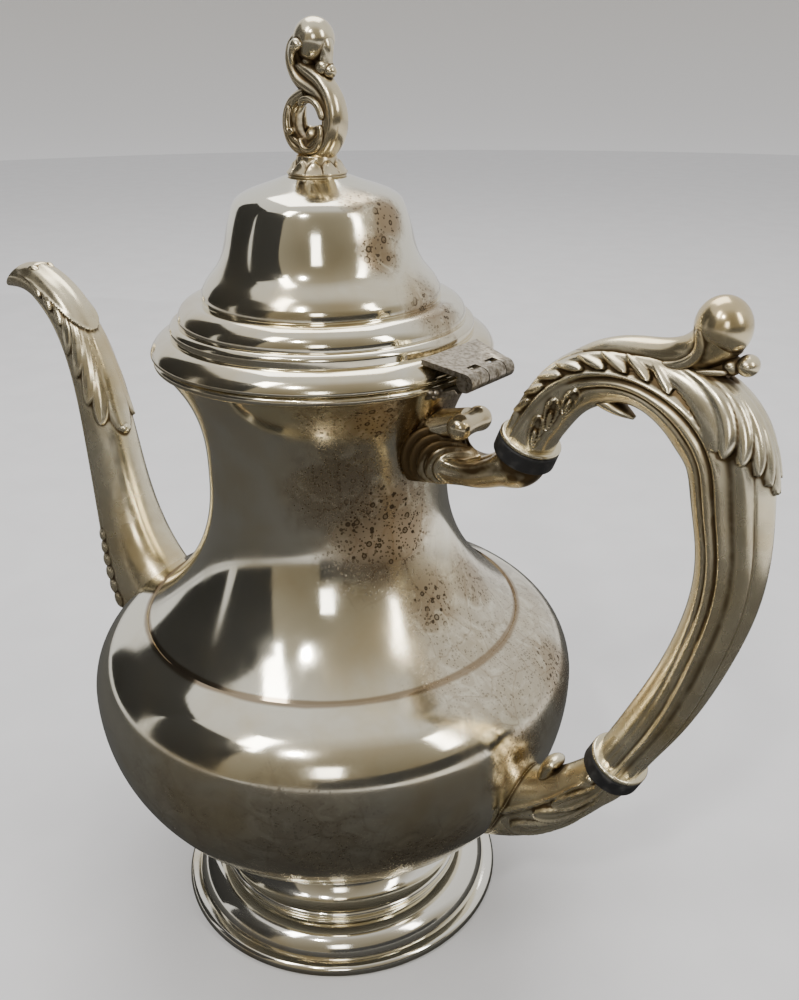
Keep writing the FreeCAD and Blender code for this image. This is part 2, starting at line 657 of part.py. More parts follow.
def hinge_lid_leaf(lid):
    """Upper leaf, soldered on the lid's flange."""
    outer = HINGE + Z_AXIS * HINGE_BARREL_R
    inner = at(LID_FLANGE_TOP_R + HINGE_LEAF_INSET, BAND_Z + HINGE_LEAF_THICK - HINGE_LEAF_SINK)
    half = (HINGE_LENGTH - HINGE_GAP) / 2
    plate = tapered_plate(outer, inner, HINGE_LEAF_THICK, half, half + HINGE_LEAF_FLARE).cut(lid)
    return hinge_leaf(plate, lid_knuckles(), body_knuckles(), HINGE_PIN_R + RUNNING_FIT)


def hinge_body_leaf(rim):
    """Lower leaf, soldered under the mouth's rim."""
    outer = HINGE - Z_AXIS * (HINGE_BARREL_R - HINGE_LEAF_THICK)
    inner = at(NECK_R, LIP_Z - (LID_R - NECK_R) * HINGE_BRACE_FALL)
    half = HINGE_LENGTH / 2
    plate = tapered_plate(outer, inner, HINGE_LEAF_THICK, half, half).cut(rim).cut(BODY_CORE)
    return hinge_leaf(plate, body_knuckles(), lid_knuckles(), HINGE_PIN_R)


def hinge_pin():
    return disc(HINGE_PIN_R, HINGE_LENGTH, HINGE - Y_AXIS * HINGE_LENGTH / 2, Y_AXIS)


def spout_point(reach, share):
    return -(BELLY_R + reach), BELLY_Z + SPOUT_RISE * share


def spout_stations():
    return [spout_point(reach, share) + (depth, width) for reach, share, depth, width in SPOUT_LINE]


def spout_bore():
    return swelled(spout_stations(), inset=SPOUT_WALL)


def spout(bore):
    """Hollow spout with a beak, fitted to the belly's skin."""
    lip = at(*spout_point(*SPOUT_LIP))
    brow = at(*spout_point(*SPOUT_BROW))
    along = (lip - brow).normalize()
    away = Vector(along.z, 0, -along.x)
    reach = SPOUT_RISE
    corners = [brow - along * reach, lip + along * reach]
    corners += [corners[1] + away * reach, corners[0] + away * reach, corners[0]]
    mouth = Part.Face(Part.makePolygon(corners)).extrude(Y_AXIS * reach)
    mouth.translate(Y_AXIS * reach / -2)
    curl = ball(*spout_point(*SPOUT_CURL), SPOUT_CURL_R)
    return joined(swelled(spout_stations()), curl).cut(BODY_CORE).cut(bore).cut(mouth)


def socket_stations(ring, reach, stations):
    """Stations of a cast piece in front of its ring, placed by shares of the ring's reach."""
    root = ring.x - reach
    return [(root + reach * share, ring.z - drop, depth, width) for share, drop, depth, width in stations]


def socket_arm(ring, reach, stations, axis):
    """Arm that ends square under its ring."""
    seat = ring - axis * (RING_THICK / 2)
    placed = socket_stations(ring, reach, stations)
    placed.append((seat.x, seat.z, CAST_END_R, CAST_END_R))
    return swelled(placed, X_AXIS, axis)


def socket_pin_centre(ring, axis):
    return ring - axis * (RING_THICK / 2 + CROSS_PIN_INSET)


def handle_pin_centre(ring, axis):
    return ring + axis * (RING_THICK / 2 + COLLAR_THICK + CROSS_PIN_INSET)


def cross_pin(centre, radius, half_length):
    """Rod across the handle's plane."""
    return disc(radius, 2 * half_length, centre - Y_AXIS * half_length, Y_AXIS)


def cross_hole(centre):
    """Hole for a cross pin, right through the casting."""
    return cross_pin(centre, CROSS_PIN_R + FIT, RING_R)


def socket_bore(ring, axis):
    """Bore of a socket for the spigot, and the hole for its cross pin."""
    seat = ring - axis * (RING_THICK / 2)
    bore = disc(SPIGOT_R + FIT, SOCKET_SPIGOT + FIT, seat, -axis)
    return bore.fuse(cross_hole(socket_pin_centre(ring, axis)))


def handle_bore(ring, axis):
    """Bore of the handle's end for the spigot, and the hole for its cross pin."""
    seat = ring + axis * (RING_THICK / 2 + COLLAR_THICK)
    bore = disc(SPIGOT_R + FIT, HANDLE_SPIGOT - COLLAR_THICK + FIT, seat, axis)
    return bore.fuse(cross_hole(handle_pin_centre(ring, axis)))


def upper_socket():
    """Cast socket on the neck, before boring: a hooked arm and a rolled scroll on a web above it."""
    arm = socket_arm(UPPER_RING, UPPER_RING_REACH, UPPER_SOCKET_LINE, UPPER_AXIS)
    web_stations = socket_stations(UPPER_RING, UPPER_RING_REACH, SCROLL_WEB_LINE)
    web = swelled(web_stations)
    scroll_end = at(*web_stations[-1][:2]) - Y_AXIS * SCROLL_LENGTH / 2
    scroll = rounded_disc(SCROLL_R, SCROLL_LENGTH, scroll_end, Y_AXIS, SCROLL_EDGE)
    return joined(arm, web, scroll).cut(BODY_CORE)


def lower_socket():
    """Cast leaf socket on the belly, before boring, with a bump on top."""
    arm = socket_arm(LOWER_RING, LOWER_RING_REACH, LOWER_SOCKET_LINE, LOWER_AXIS)
    share, drop = SOCKET_BUMP
    bump = ball(BELLY_R + LOWER_RING_REACH * share, LOWER_RING.z - drop, SOCKET_BUMP_R)
    return joined(arm, bump).cut(BODY_CORE)


def insulator(ring, axis):
    """Black heat break: a ring with a spigot for the socket and a longer one for the handle."""
    low = ring - axis * (RING_THICK / 2)
    plate = rounded_disc(RING_R, RING_THICK, low, axis, RING_EDGE)
    spigot = disc(SPIGOT_R, SOCKET_SPIGOT + RING_THICK + HANDLE_SPIGOT, low - axis * SOCKET_SPIGOT, axis)
    centres = [socket_pin_centre(ring, axis), handle_pin_centre(ring, axis)]
    holes = [cross_hole(centre) for centre in centres]
    return joined(plate, spigot).cut(Part.makeCompound(holes))


def insulator_pins(ring, axis):
    """The two cross pins of an insulator, driven just below the skin of the castings they lock."""
    half_length = CAST_END_R - CROSS_PIN_SINK
    centres = [socket_pin_centre(ring, axis), handle_pin_centre(ring, axis)]
    return Part.makeCompound([cross_pin(centre, CROSS_PIN_R, half_length) for centre in centres])


def handle_collar(ring, axis):
    """Bead ring between the insulator and the handle's end."""
    low = ring + axis * (RING_THICK / 2)
    plate = rounded_disc(RING_R, COLLAR_THICK, low, axis, COLLAR_EDGE)
    return plate.cut(disc(SPIGOT_R + FIT, COLLAR_THICK, low, axis))


def handle_point(share, bow):
    """Point of the handle's plane, placed from the line between the two rings."""
    between = LOWER_RING + (UPPER_RING - LOWER_RING) * share
    return between.x + bow, between.z


def handle():
    """Cast scroll handle, before boring: a fluted grip, a thumb scroll that ends in a ball, and beads."""
    upper_seat = UPPER_RING + UPPER_AXIS * (RING_THICK / 2 + COLLAR_THICK)
    lower_seat = LOWER_RING + LOWER_AXIS * (RING_THICK / 2 + COLLAR_THICK)
    stations = [(upper_seat.x, upper_seat.z, CAST_END_R, CAST_END_R)]
    stations += [handle_point(share, bow) + (depth, width) for share, bow, depth, width in HANDLE_LINE]
    stations.append((lower_seat.x, lower_seat.z, CAST_END_R, CAST_END_R))
    grip = swelled(stations, UPPER_AXIS, -LOWER_AXIS, FLUTE_DEPTH)
    crest_x, crest_z = handle_point(*HANDLE_LINE[HANDLE_CREST][:2])

    def on_crest(stations_above):
        return [(crest_x + along, crest_z + above) + tuple(size) for along, above, *size in stations_above]

    strands = [strand(on_crest(THUMB_STRAND)), strand(on_crest(THUMB_CURL))]
    balls = [ball(*bead) for bead in on_crest((KNOB,) + THUMB_BEADS)]
    return joined(grip, swelled(on_crest(ARCH_LEAF)), *strands, *balls)


def all_parts():
    """Every piece by its name."""
    bore = spout_bore()
    lid = lid_dome()
    rim = mouth_rim()
    upper_handle_bore = handle_bore(UPPER_RING, UPPER_AXIS)
    lower_handle_bore = handle_bore(LOWER_RING, LOWER_AXIS)
    return {
        "foot": foot(),
        "foot_rim": foot_rim(),
        "foot_collar": foot_collar(),
        "belly_shell": belly_shell(bore),
        "neck_shell": neck_shell(),
        "mouth_rim": rim,
        "spout": spout(bore),
        "upper_socket": upper_socket().cut(socket_bore(UPPER_RING, UPPER_AXIS)),
        "lower_socket": lower_socket().cut(socket_bore(LOWER_RING, LOWER_AXIS)),
        "upper_insulator": insulator(UPPER_RING, UPPER_AXIS),
        "lower_insulator": insulator(LOWER_RING, LOWER_AXIS),
        "upper_insulator_pins": insulator_pins(UPPER_RING, UPPER_AXIS),
        "lower_insulator_pins": insulator_pins(LOWER_RING, LOWER_AXIS),
        "upper_handle_collar": handle_collar(UPPER_RING, UPPER_AXIS),
        "lower_handle_collar": handle_collar(LOWER_RING, LOWER_AXIS),
        "handle": handle().cut(upper_handle_bore).cut(lower_handle_bore),
        "lid_dome": lid,
        "lid_bezel": lid_bezel(),
        "finial_collar": finial_collar(),
        "finial": finial(),
        "finial_stud": finial_stud(),
        "finial_washer": finial_washer(),
        "finial_nut": finial_nut(),
        "hinge_lid_leaf": hinge_lid_leaf(lid),
        "hinge_body_leaf": hinge_body_leaf(rim),
        "hinge_pin": hinge_pin(),
    }


def main():
    os.makedirs("parts", exist_ok=True)
    for name, shape in all_parts().items():
        print(f"{name}: {len(shape.Solids)} solids, {shape.Volume:.1f} mm3, valid {shape.isValid()}")
        shape.exportStep(f"parts/{name}.step")


main()
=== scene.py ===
"""Looks of the coffee pot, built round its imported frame.

Sizes are millimetres and angles degrees, unless a name or a comment says otherwise. +Z is up, the handle
points along +X and the spout along -X.
"""
import logging
import math
from dataclasses import dataclass, field
from enum import Enum
from typing import Callable, Sequence

import bpy
import numpy as np
from mathutils import Matrix, Vector
from mathutils.bvhtree import BVHTree


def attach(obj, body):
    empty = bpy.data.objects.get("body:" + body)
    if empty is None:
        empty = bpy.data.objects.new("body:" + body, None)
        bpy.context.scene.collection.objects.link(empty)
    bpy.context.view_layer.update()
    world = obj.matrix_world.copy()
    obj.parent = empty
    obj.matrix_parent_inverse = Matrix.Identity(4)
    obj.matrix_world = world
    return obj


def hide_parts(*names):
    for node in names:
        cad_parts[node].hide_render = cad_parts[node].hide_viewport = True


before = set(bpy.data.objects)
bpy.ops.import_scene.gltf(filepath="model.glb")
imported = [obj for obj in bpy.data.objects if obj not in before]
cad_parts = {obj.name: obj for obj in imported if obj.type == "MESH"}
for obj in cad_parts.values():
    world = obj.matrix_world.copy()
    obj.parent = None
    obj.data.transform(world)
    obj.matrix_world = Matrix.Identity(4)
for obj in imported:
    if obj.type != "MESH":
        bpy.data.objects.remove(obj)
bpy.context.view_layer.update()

LOG = logging.getLogger("coffee_pot")
MM = 0.001
SPIN_STEPS = 180
ARC_STEPS = 10
SEAM = 2e-6  # metres within which vertices are one
CREASE_ANGLE = math.radians(38)
CARVED_ANGLE = math.radians(50)  # edges of carved skin stay soft up to here
TUBE_ANGLE = math.radians(60)
PATINA_AND_SHADE = "patina_and_shade"  # vertex attribute: 1 where dirt and tarnish stay in a recess, and where shade is painted into recesses and enclosed places
DIRT_AND_SHADE_SHARES = (0.13, 0.57)  # closed shares of a place's surroundings where dirt and painted shade start and are thickest
LEAF_EDGE = 0.03  # relief above which a leaf hides the mouldings under it
TANGENT_STEP = 0.01  # distance over which a curve's direction is read

Point = tuple[float, float]
Colour = tuple[float, float, float]
Station = tuple[float, float, float, float]
Line = Sequence[Station]
Rows = Sequence[Sequence[float]]
Ridge = tuple[float, float, float]  # angle, height and width
Grid = np.ndarray
Piece = bpy.types.Object
Material = bpy.types.Material
Socket = bpy.types.NodeSocket
Shape = Callable[[Grid, Grid], tuple[Grid, Grid]]


class Body(str, Enum):
    """The two moving bodies of the frame."""

    POT = "pot"
    LID = "lid"


class Slot(str, Enum):
    """The material slots of the finishes."""

    PLATE = "silver_plate"
    CAST = "cast_silver_plate"
    BLACK = "black_insulator"
    HINGE = "hinge_metal"
    BRASS = "fixing_brass"


def arc(start: Point, middle: Point, end: Point, steps: int = ARC_STEPS) -> list[Point]:
    """Follow the circle through three points.

    Args:
        start: Where the arc starts, which isn't repeated in the result.
        middle: A point that the arc passes through.
        end: Where the arc ends.
        steps: How many points to give.

    Returns:
        The arc's points after its start.
    """
    a, b, c = complex(*start), complex(*middle), complex(*end)
    w = (c - a) / (b - a)
    centre = (b - a) * (w - abs(w) ** 2) / (2j * w.imag) + a
    radius = abs(a - centre)
    first, half, last = (math.atan2((p - centre).imag, (p - centre).real) for p in (a, b, c))
    turn = (last - first) % math.tau
    if (half - first) % math.tau > turn:
        turn -= math.tau
    angles = [first + turn * k / steps for k in range(1, steps + 1)]
    return [(centre.real + radius * math.cos(t), centre.imag + radius * math.sin(t)) for t in angles]


def share_point(start: Point, end: Point, across: float, up: float) -> Point:
    """Give the point at a share of the width and a share of the height from start to end."""
    return start[0] + (end[0] - start[0]) * across, start[1] + (end[1] - start[1]) * up


def on_axis(ring: Point, slope: float, reach: float) -> Point:
    """Give the point at a distance from a ring along its axis, which slopes up from +X."""
    angle = math.radians(slope)
    return ring[0] + reach * math.cos(angle), ring[1] + reach * math.sin(angle)


def cubic(knots: np.ndarray, rows: np.ndarray, places: np.ndarray) -> np.ndarray:
    """Read a natural cubic curve through rows of values.

    Args:
        knots: Distance of each row along the curve.
        rows: Values at the knots, one row each.
        places: Distances to read, of any shape.

    Returns:
        The values at the places, with one more axis for the columns.
    """
    gaps = np.diff(knots)
    count = len(knots)
    system = np.eye(count)
    right = np.zeros_like(rows)
    for k in range(1, count - 1):
        system[k, k - 1:k + 2] = gaps[k - 1], 2 * (gaps[k - 1] + gaps[k]), gaps[k]
        right[k] = 6 * ((rows[k + 1] - rows[k]) / gaps[k] - (rows[k] - rows[k - 1]) / gaps[k - 1])
    bends = np.linalg.solve(system, right)
    span = np.clip(np.searchsorted(knots, places, side="right") - 1, 0, count - 2)
    gap = gaps[span][..., None]
    after = (places - knots[span])[..., None] / gap
    before = 1 - after
    curved = (before ** 3 - before) * bends[span] + (after ** 3 - after) * bends[span + 1]
    return before * rows[span] + after * rows[span + 1] + curved * gap ** 2 / 6


def smooth_step(values: Grid, low: float, high: float) -> Grid:
    """Rise softly from 0 at low to 1 at high."""
    share = np.clip((values - low) / (high - low), 0, 1)
    return share * share * (3 - 2 * share)


def window(values: Grid, rise: Point, fall: Point) -> Grid:
    """Rise softly from 0 to 1 over one stretch and fall back over another."""
    return smooth_step(values, *rise) * (1 - smooth_step(values, *fall))


def bump(distance: Grid, width: float) -> Grid:
    """Give a round ridge of height 1 about distance 0."""
    return np.exp(-(distance / width) ** 2)


def ridges(around: Grid, profiles: Sequence[Ridge]) -> Grid:
    """Give the summed height of ridges and grooves about their angles."""
    return sum(height * bump(around - angle, width) for angle, height, width in profiles)


def distances(rows: np.ndarray) -> np.ndarray:
    """Give the distance of each row of coordinates along the line through all of them."""
    return np.concatenate([[0.0], np.cumsum(np.linalg.norm(np.diff(rows, axis=0), axis=1))])


class Bench:
    """Operators that make one mesh at a time, with nothing else selected."""

    @staticmethod
    def clear() -> None:
        """Leave edit mode and deselect everything."""
        if bpy.context.mode != "OBJECT":
            bpy.ops.object.mode_set(mode="OBJECT")
        bpy.ops.object.select_all(action="DESELECT")

    @staticmethod
    def edit() -> None:
        """Enter edit mode with everything selected."""
        bpy.ops.object.mode_set(mode="EDIT")
        bpy.ops.mesh.select_all(action="SELECT")

    @staticmethod
    def pick(*pieces: Piece) -> None:
        """Select these pieces alone and make the first one active.

        Args:
            pieces: The pieces, the active one first.
        """
        Bench.clear()
        for piece in pieces:
            piece.select_set(True)
        bpy.context.view_layer.objects.active = pieces[0]

    @staticmethod
    def close(piece: Piece, angle: float = CREASE_ANGLE) -> Piece:
        """Merge doubles, turn the faces outwards and smooth the piece.

        Args:
            piece: The mesh object.
            angle: Edges sharper than this stay sharp.

        Returns:
            The same object.
        """
        Bench.pick(piece)
        Bench.edit()
        bpy.ops.mesh.remove_doubles(threshold=SEAM)
        bpy.ops.mesh.normals_make_consistent(inside=False)
        bpy.ops.object.mode_set(mode="OBJECT")
        bpy.ops.object.shade_smooth_by_angle(angle=angle)
        return piece

    @staticmethod
    def spun(name: str, outline: Sequence[Point], closed: bool = True, steps: int = SPIN_STEPS) -> Piece:
        """Extrude one point along an outline and spin the line about the pot's axis.

        Args:
            name: Name of the piece.
            outline: Radius and height of each point, in order.
            closed: Whether the outline returns to its first point.
            steps: Steps round the axis.

        Returns:
            The spun piece.
        """
        line = list(outline) + [outline[0]] * closed
        Bench.clear()
        bpy.ops.mesh.primitive_plane_add(size=MM)
        piece = bpy.context.object
        piece.name = name
        Bench.edit()
        bpy.ops.mesh.merge(type="CENTER")
        bpy.ops.transform.translate(value=(line[0][0] * MM, 0, line[0][1] * MM))
        for (r, z), (next_r, next_z) in zip(line, line[1:]):
            step = ((next_r - r) * MM, 0, (next_z - z) * MM)
            bpy.ops.mesh.extrude_region_move(TRANSFORM_OT_translate={"value": step})
        bpy.ops.mesh.select_all(action="SELECT")
        bpy.ops.mesh.spin(steps=steps, angle=math.tau, center=(0, 0, 0), axis=(0, 0, 1))
        return Bench.close(piece)

    @staticmethod
    def rolled(name: str, rows: int, columns: int, shape: Shape) -> Piece:
        """Roll a grid into a closed tube and shape it.

        Args:
            name: Name of the piece.
            rows: Steps along the tube.
            columns: Steps round the tube.
            shape: Gives the places in millimetres and the patina with its painted shade from shares along and
                round the tube.

        Returns:
            The closed piece, with its patina and painted shade on its vertices.
        """
        Bench.clear()
        bpy.ops.mesh.primitive_grid_add(x_subdivisions=rows, y_subdivisions=columns, size=2)
        piece = bpy.context.object
        piece.name = name
        mesh = piece.data
        flat = np.empty(len(mesh.vertices) * 3)
        mesh.vertices.foreach_get("co", flat)
        shares = (flat.reshape(columns + 1, rows + 1, 3) + 1) / 2
        places, patina_and_shade = shape(shares[..., 0], shares[..., 1])
        mesh.vertices.foreach_set("co", (places * MM).ravel())
        mesh.attributes.new(PATINA_AND_SHADE, "FLOAT", "POINT").data.foreach_set("value", patina_and_shade.ravel())
        Bench.edit()
        bpy.ops.mesh.remove_doubles(threshold=SEAM)
        bpy.ops.mesh.fill_holes(sides=0)
        return Bench.close(piece, TUBE_ANGLE)

    @staticmethod
    def ball(name: str, centre: Sequence[float], radius: float, squash: float = 1.0,
             stretch: float = 1.0) -> Piece:
        """Make a ball that may be drawn out across the handle's plane or upwards, with no patina or painted
        shade.

        Args:
            name: Name of the piece.
            centre: Its centre.
            radius: Its radius in the handle's plane.
            squash: Its thickness along Y as a share of its width.
            stretch: Its height as a share of its width.

        Returns:
            The ball.
        """
        Bench.clear()
        bpy.ops.mesh.primitive_uv_sphere_add(segments=48, ring_count=24, radius=radius * MM)
        piece = bpy.context.object
        piece.name = name
        Bench.edit()
        bpy.ops.transform.resize(value=(1, squash, stretch))
        bpy.ops.transform.translate(value=[v * MM for v in centre])
        bpy.ops.object.mode_set(mode="OBJECT")
        piece.data.attributes.new(PATINA_AND_SHADE, "FLOAT", "POINT")
        return Bench.close(piece)

    @staticmethod
    def join(name: str, pieces: Sequence[Piece]) -> Piece:
        """Make one object of pieces that are cast together.

        Args:
            name: Name of the whole.
            pieces: Its parts, the first of which stays.

        Returns:
            The whole.
        """
        Bench.pick(*pieces)
        bpy.ops.object.join()
        pieces[0].name = name
        return pieces[0]

    @staticmethod
    def cut(piece: Piece, cutter: Piece) -> Piece:
        """Take a cutter's space out of a piece and delete the cutter.

        Args:
            piece: What is cut.
            cutter: The space to take out.

        Returns:
            The cut piece.
        """
        Bench.pick(piece)
        modifier = piece.modifiers.new("cut", "BOOLEAN")
        modifier.object = cutter
        modifier.operation = "DIFFERENCE"
        modifier.solver = "EXACT"
        bpy.ops.object.modifier_apply(modifier=modifier.name)
        bpy.data.objects.remove(cutter)
        return piece

    @staticmethod
    def bevel(piece: Piece, width: float, segments: int = 2) -> Piece:
        """Round the sharp edges of a piece.

        Args:
            piece: The mesh object.
            width: Width of the rounding.
            segments: Steps across it.

        Returns:
            The same object.
        """
        Bench.pick(piece)
        modifier = piece.modifiers.new("edges", "BEVEL")
        modifier.width = width * MM
        modifier.segments = segments
        modifier.limit_method = "ANGLE"
        modifier.angle_limit = CREASE_ANGLE
        bpy.ops.object.modifier_apply(modifier=modifier.name)
        return Bench.close(piece)

    @staticmethod
    def worn_copy(node: str, name: str, width: float) -> Piece:
        """Copy a node of the frame and round its edges.

        Args:
            node: The node's name.
            name: Name of the copy.
            width: Width of the rounding.

        Returns:
            The copy.
        """
        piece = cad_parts[node].copy()
        piece.data = piece.data.copy()
        piece.name = name
        piece.parent = None
        bpy.context.scene.collection.objects.link(piece)
        Bench.close(piece)
        Bench.edit()
        bpy.ops.mesh.dissolve_limited(angle_limit=math.radians(1))
        bpy.ops.object.mode_set(mode="OBJECT")
        return Bench.bevel(piece, width)

    @staticmethod
    def dirt_and_painted_shade(piece: Piece, reach: float = 6.0, rays: int = 26, blurs: int = 6) -> Piece:
        """Deepen a casting's patina, and paint shade, where its own parts close round a place.

        Args:
            piece: The casting.
            reach: How near another part has to be, in millimetres.
            rays: Directions to look in.
            blurs: How often each value is averaged with its neighbours.

        Returns:
            The same object.
        """
        golden = math.pi * (3 - math.sqrt(5))
        grazing = 0.2  # ways flatter than this would hit the skin they start from
        lift = 20 * SEAM
        ways = []
        for k in range(rays):
            z = 1 - (2 * k + 1) / rays
            side = math.sqrt(1 - z * z)
            ways.append(Vector((side * math.cos(golden * k), side * math.sin(golden * k), z)))
        mesh = piece.data
        tree = BVHTree.FromObject(piece, bpy.context.evaluated_depsgraph_get())
        closed = np.zeros(len(mesh.vertices))
        for k, vertex in enumerate(mesh.vertices):
            start = vertex.co + vertex.normal * lift
            open_ways = [way for way in ways if way.dot(vertex.normal) > grazing]
            hits = sum(tree.ray_cast(start, way, reach * MM)[0] is not None for way in open_ways)
            closed[k] = hits / max(len(open_ways), 1)
        ends = np.empty(len(mesh.edges) * 2, dtype=int)
        mesh.edges.foreach_get("vertices", ends)
        first, second = ends.reshape(-1, 2).T
        links = np.maximum(np.bincount(ends, minlength=len(closed)), 1)
        for _ in range(blurs):
            around = np.bincount(first, closed[second], len(closed))
            around += np.bincount(second, closed[first], len(closed))
            closed = (closed + around / links) / 2
        values = np.empty(len(mesh.vertices))
        patina_and_shade = mesh.attributes[PATINA_AND_SHADE].data
        patina_and_shade.foreach_get("value", values)
        # the share of closed ways darkens the colour: tarnish kept in the hollows and painted shade
        patina_and_shade.foreach_set("value", np.maximum(values, smooth_step(closed, *DIRT_AND_SHADE_SHARES)))
        return piece

    @staticmethod
    def place(piece: Piece, centre: Sequence[float], tilt: float) -> Piece:
        """Turn a piece that was made about Z, put it at a place, and keep that place in its mesh.

        Args:
            piece: The mesh object, made about the origin.
            centre: Where its origin goes.
            tilt: Degrees by which its axis lies below +Z, towards +X.

        Returns:
            The same object.
        """
        Bench.pick(piece)
        turn = Matrix.Rotation(math.radians(tilt), 4, "Y")
        piece.matrix_world = Matrix.Translation(Vector(centre) * MM) @ turn
        bpy.ops.object.transform_apply(location=True, rotation=True, scale=True)
        return piece


def seat(piece: Piece, body: Body, slot: Slot, material: Material, *nodes: str) -> None:
    """Finish a piece: its material, the body it rides on and the nodes it stands for.

    Args:
        piece: The mesh object.
        body: The body that carries it.
        slot: The slot of its finish, which is not used.
        material: Its material.
        nodes: Nodes of the frame that it replaces.
    """
    piece.data.materials.clear()
    piece.data.materials.append(material)
    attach(piece, body.value)
    if nodes:
        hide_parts(*nodes)
    LOG.info("%s: %d faces on %s", piece.name, len(piece.data.polygons), body.value)


@dataclass(frozen=True)
class Lobe:
    """One raised leaf lobe on a casting, from its narrow root to its round tip."""

    root: Point  # millimetres along the casting, degrees round it from its inner side
    tip: Point
    width: float  # half width at its widest
    height: float
    bend: float = 0.0  # how far its middle bows aside
    vein: float = 0.0  # depth of the line along its middle
    scoop: float = 0.0  # depth of the hollow inside its rim
    blunt: float = 5.0  # how square its tip is: 5 is round and 1 is pointed
    tilt: float = 0.0  # how much higher one side of it lies than the other

    def relief(self, along: Grid, around: Grid, girth: float) -> Grid:
        """Give the lobe's height over a casting's skin.

        Args:
            along: Millimetres along the casting.
            around: Degrees from the inner side.
            girth: Mean radius of the casting.

        Returns:
            The height, which is 0 outside the lobe.
        """
        arc_mm = girth * math.radians(1)
        run_s = self.tip[0] - self.root[0]
        run_q = (self.tip[1] - self.root[1]) * arc_mm
        length = math.hypot(run_s, run_q)
        from_s = along - self.root[0]
        from_q = (around - self.root[1]) * arc_mm
        share = (from_s * run_s + from_q * run_q) / length ** 2
        held = np.clip(share, 0, 1)
        aside = (from_s * run_q - from_q * run_s) / length - self.bend * 4 * held * (1 - held)
        half = self.width * np.sqrt(held * (1 - held ** self.blunt)) + 1e-3
        inside = np.clip(1 - (aside / half) ** 2, 0, 1) * (share > 0) * (share < 1)
        lean = 1 + self.tilt * np.clip(aside / half, -1, 1)
        crown = self.height * lean * inside ** 0.8 * (0.4 + 0.6 * held)
        hollow = self.scoop * smooth_step(inside, 0.5, 0.97)
        return crown - self.vein * bump(aside, 0.3 * self.width) * inside - hollow


def raised(lobes: Sequence[Lobe], along: Grid, around: Grid, girth: float) -> Grid:
    """Give the greatest height of many lobes, so that they part in sharp valleys."""
    return np.maximum.reduce([lobe.relief(along, around, girth) for lobe in lobes])


def studs(spots: Line, along: Grid, around: Grid, girth: float) -> Grid:
    """Give the height of round studs at (millimetres along, degrees round, radius, height).

    Args:
        spots: Each stud's place along, angle, radius and height.
        along: Millimetres along the casting.
        around: Degrees from the inner side.
        girth: Mean radius of the casting.

    Returns:
        The greatest height at each point.
    """
    height = np.zeros_like(along)
    for place, angle, radius, top in spots:
        away = np.hypot(along - place, (around - angle) * math.radians(1) * girth)
        height = np.maximum(height, top * np.sqrt(np.clip(1 - (away / radius) ** 2, 0, None)))
    return height


def overlaid(leaves: Grid, under: Grid) -> Grid:
    """Lay leaves over the mouldings under them, which show beside and above the leaves."""
    return np.where(leaves > LEAF_EDGE, np.maximum(leaves, under), under)


def recess(height: Grid, passes: int = 10, depth: float = 0.34) -> Grid:
    """Find where a relief lies below its surroundings.

    Args:
        height: The relief, with the casting's length on its second axis.
        passes: How often the surroundings are averaged.
        depth: Depth in millimetres that is fully dark, where the darkening is tarnish and painted shade.

    Returns:
        0 on raised places to 1 in deep recesses.
    """
    mean = height
    for _ in range(passes):
        mean = (np.roll(mean, 1, 0) + 2 * mean + np.roll(mean, -1, 0)) / 4
        padded = np.pad(mean, ((0, 0), (1, 1)), mode="edge")
        mean = (padded[:, :-2] + 2 * mean + padded[:, 2:]) / 4
    return np.clip((mean - height) / depth, 0, 1)


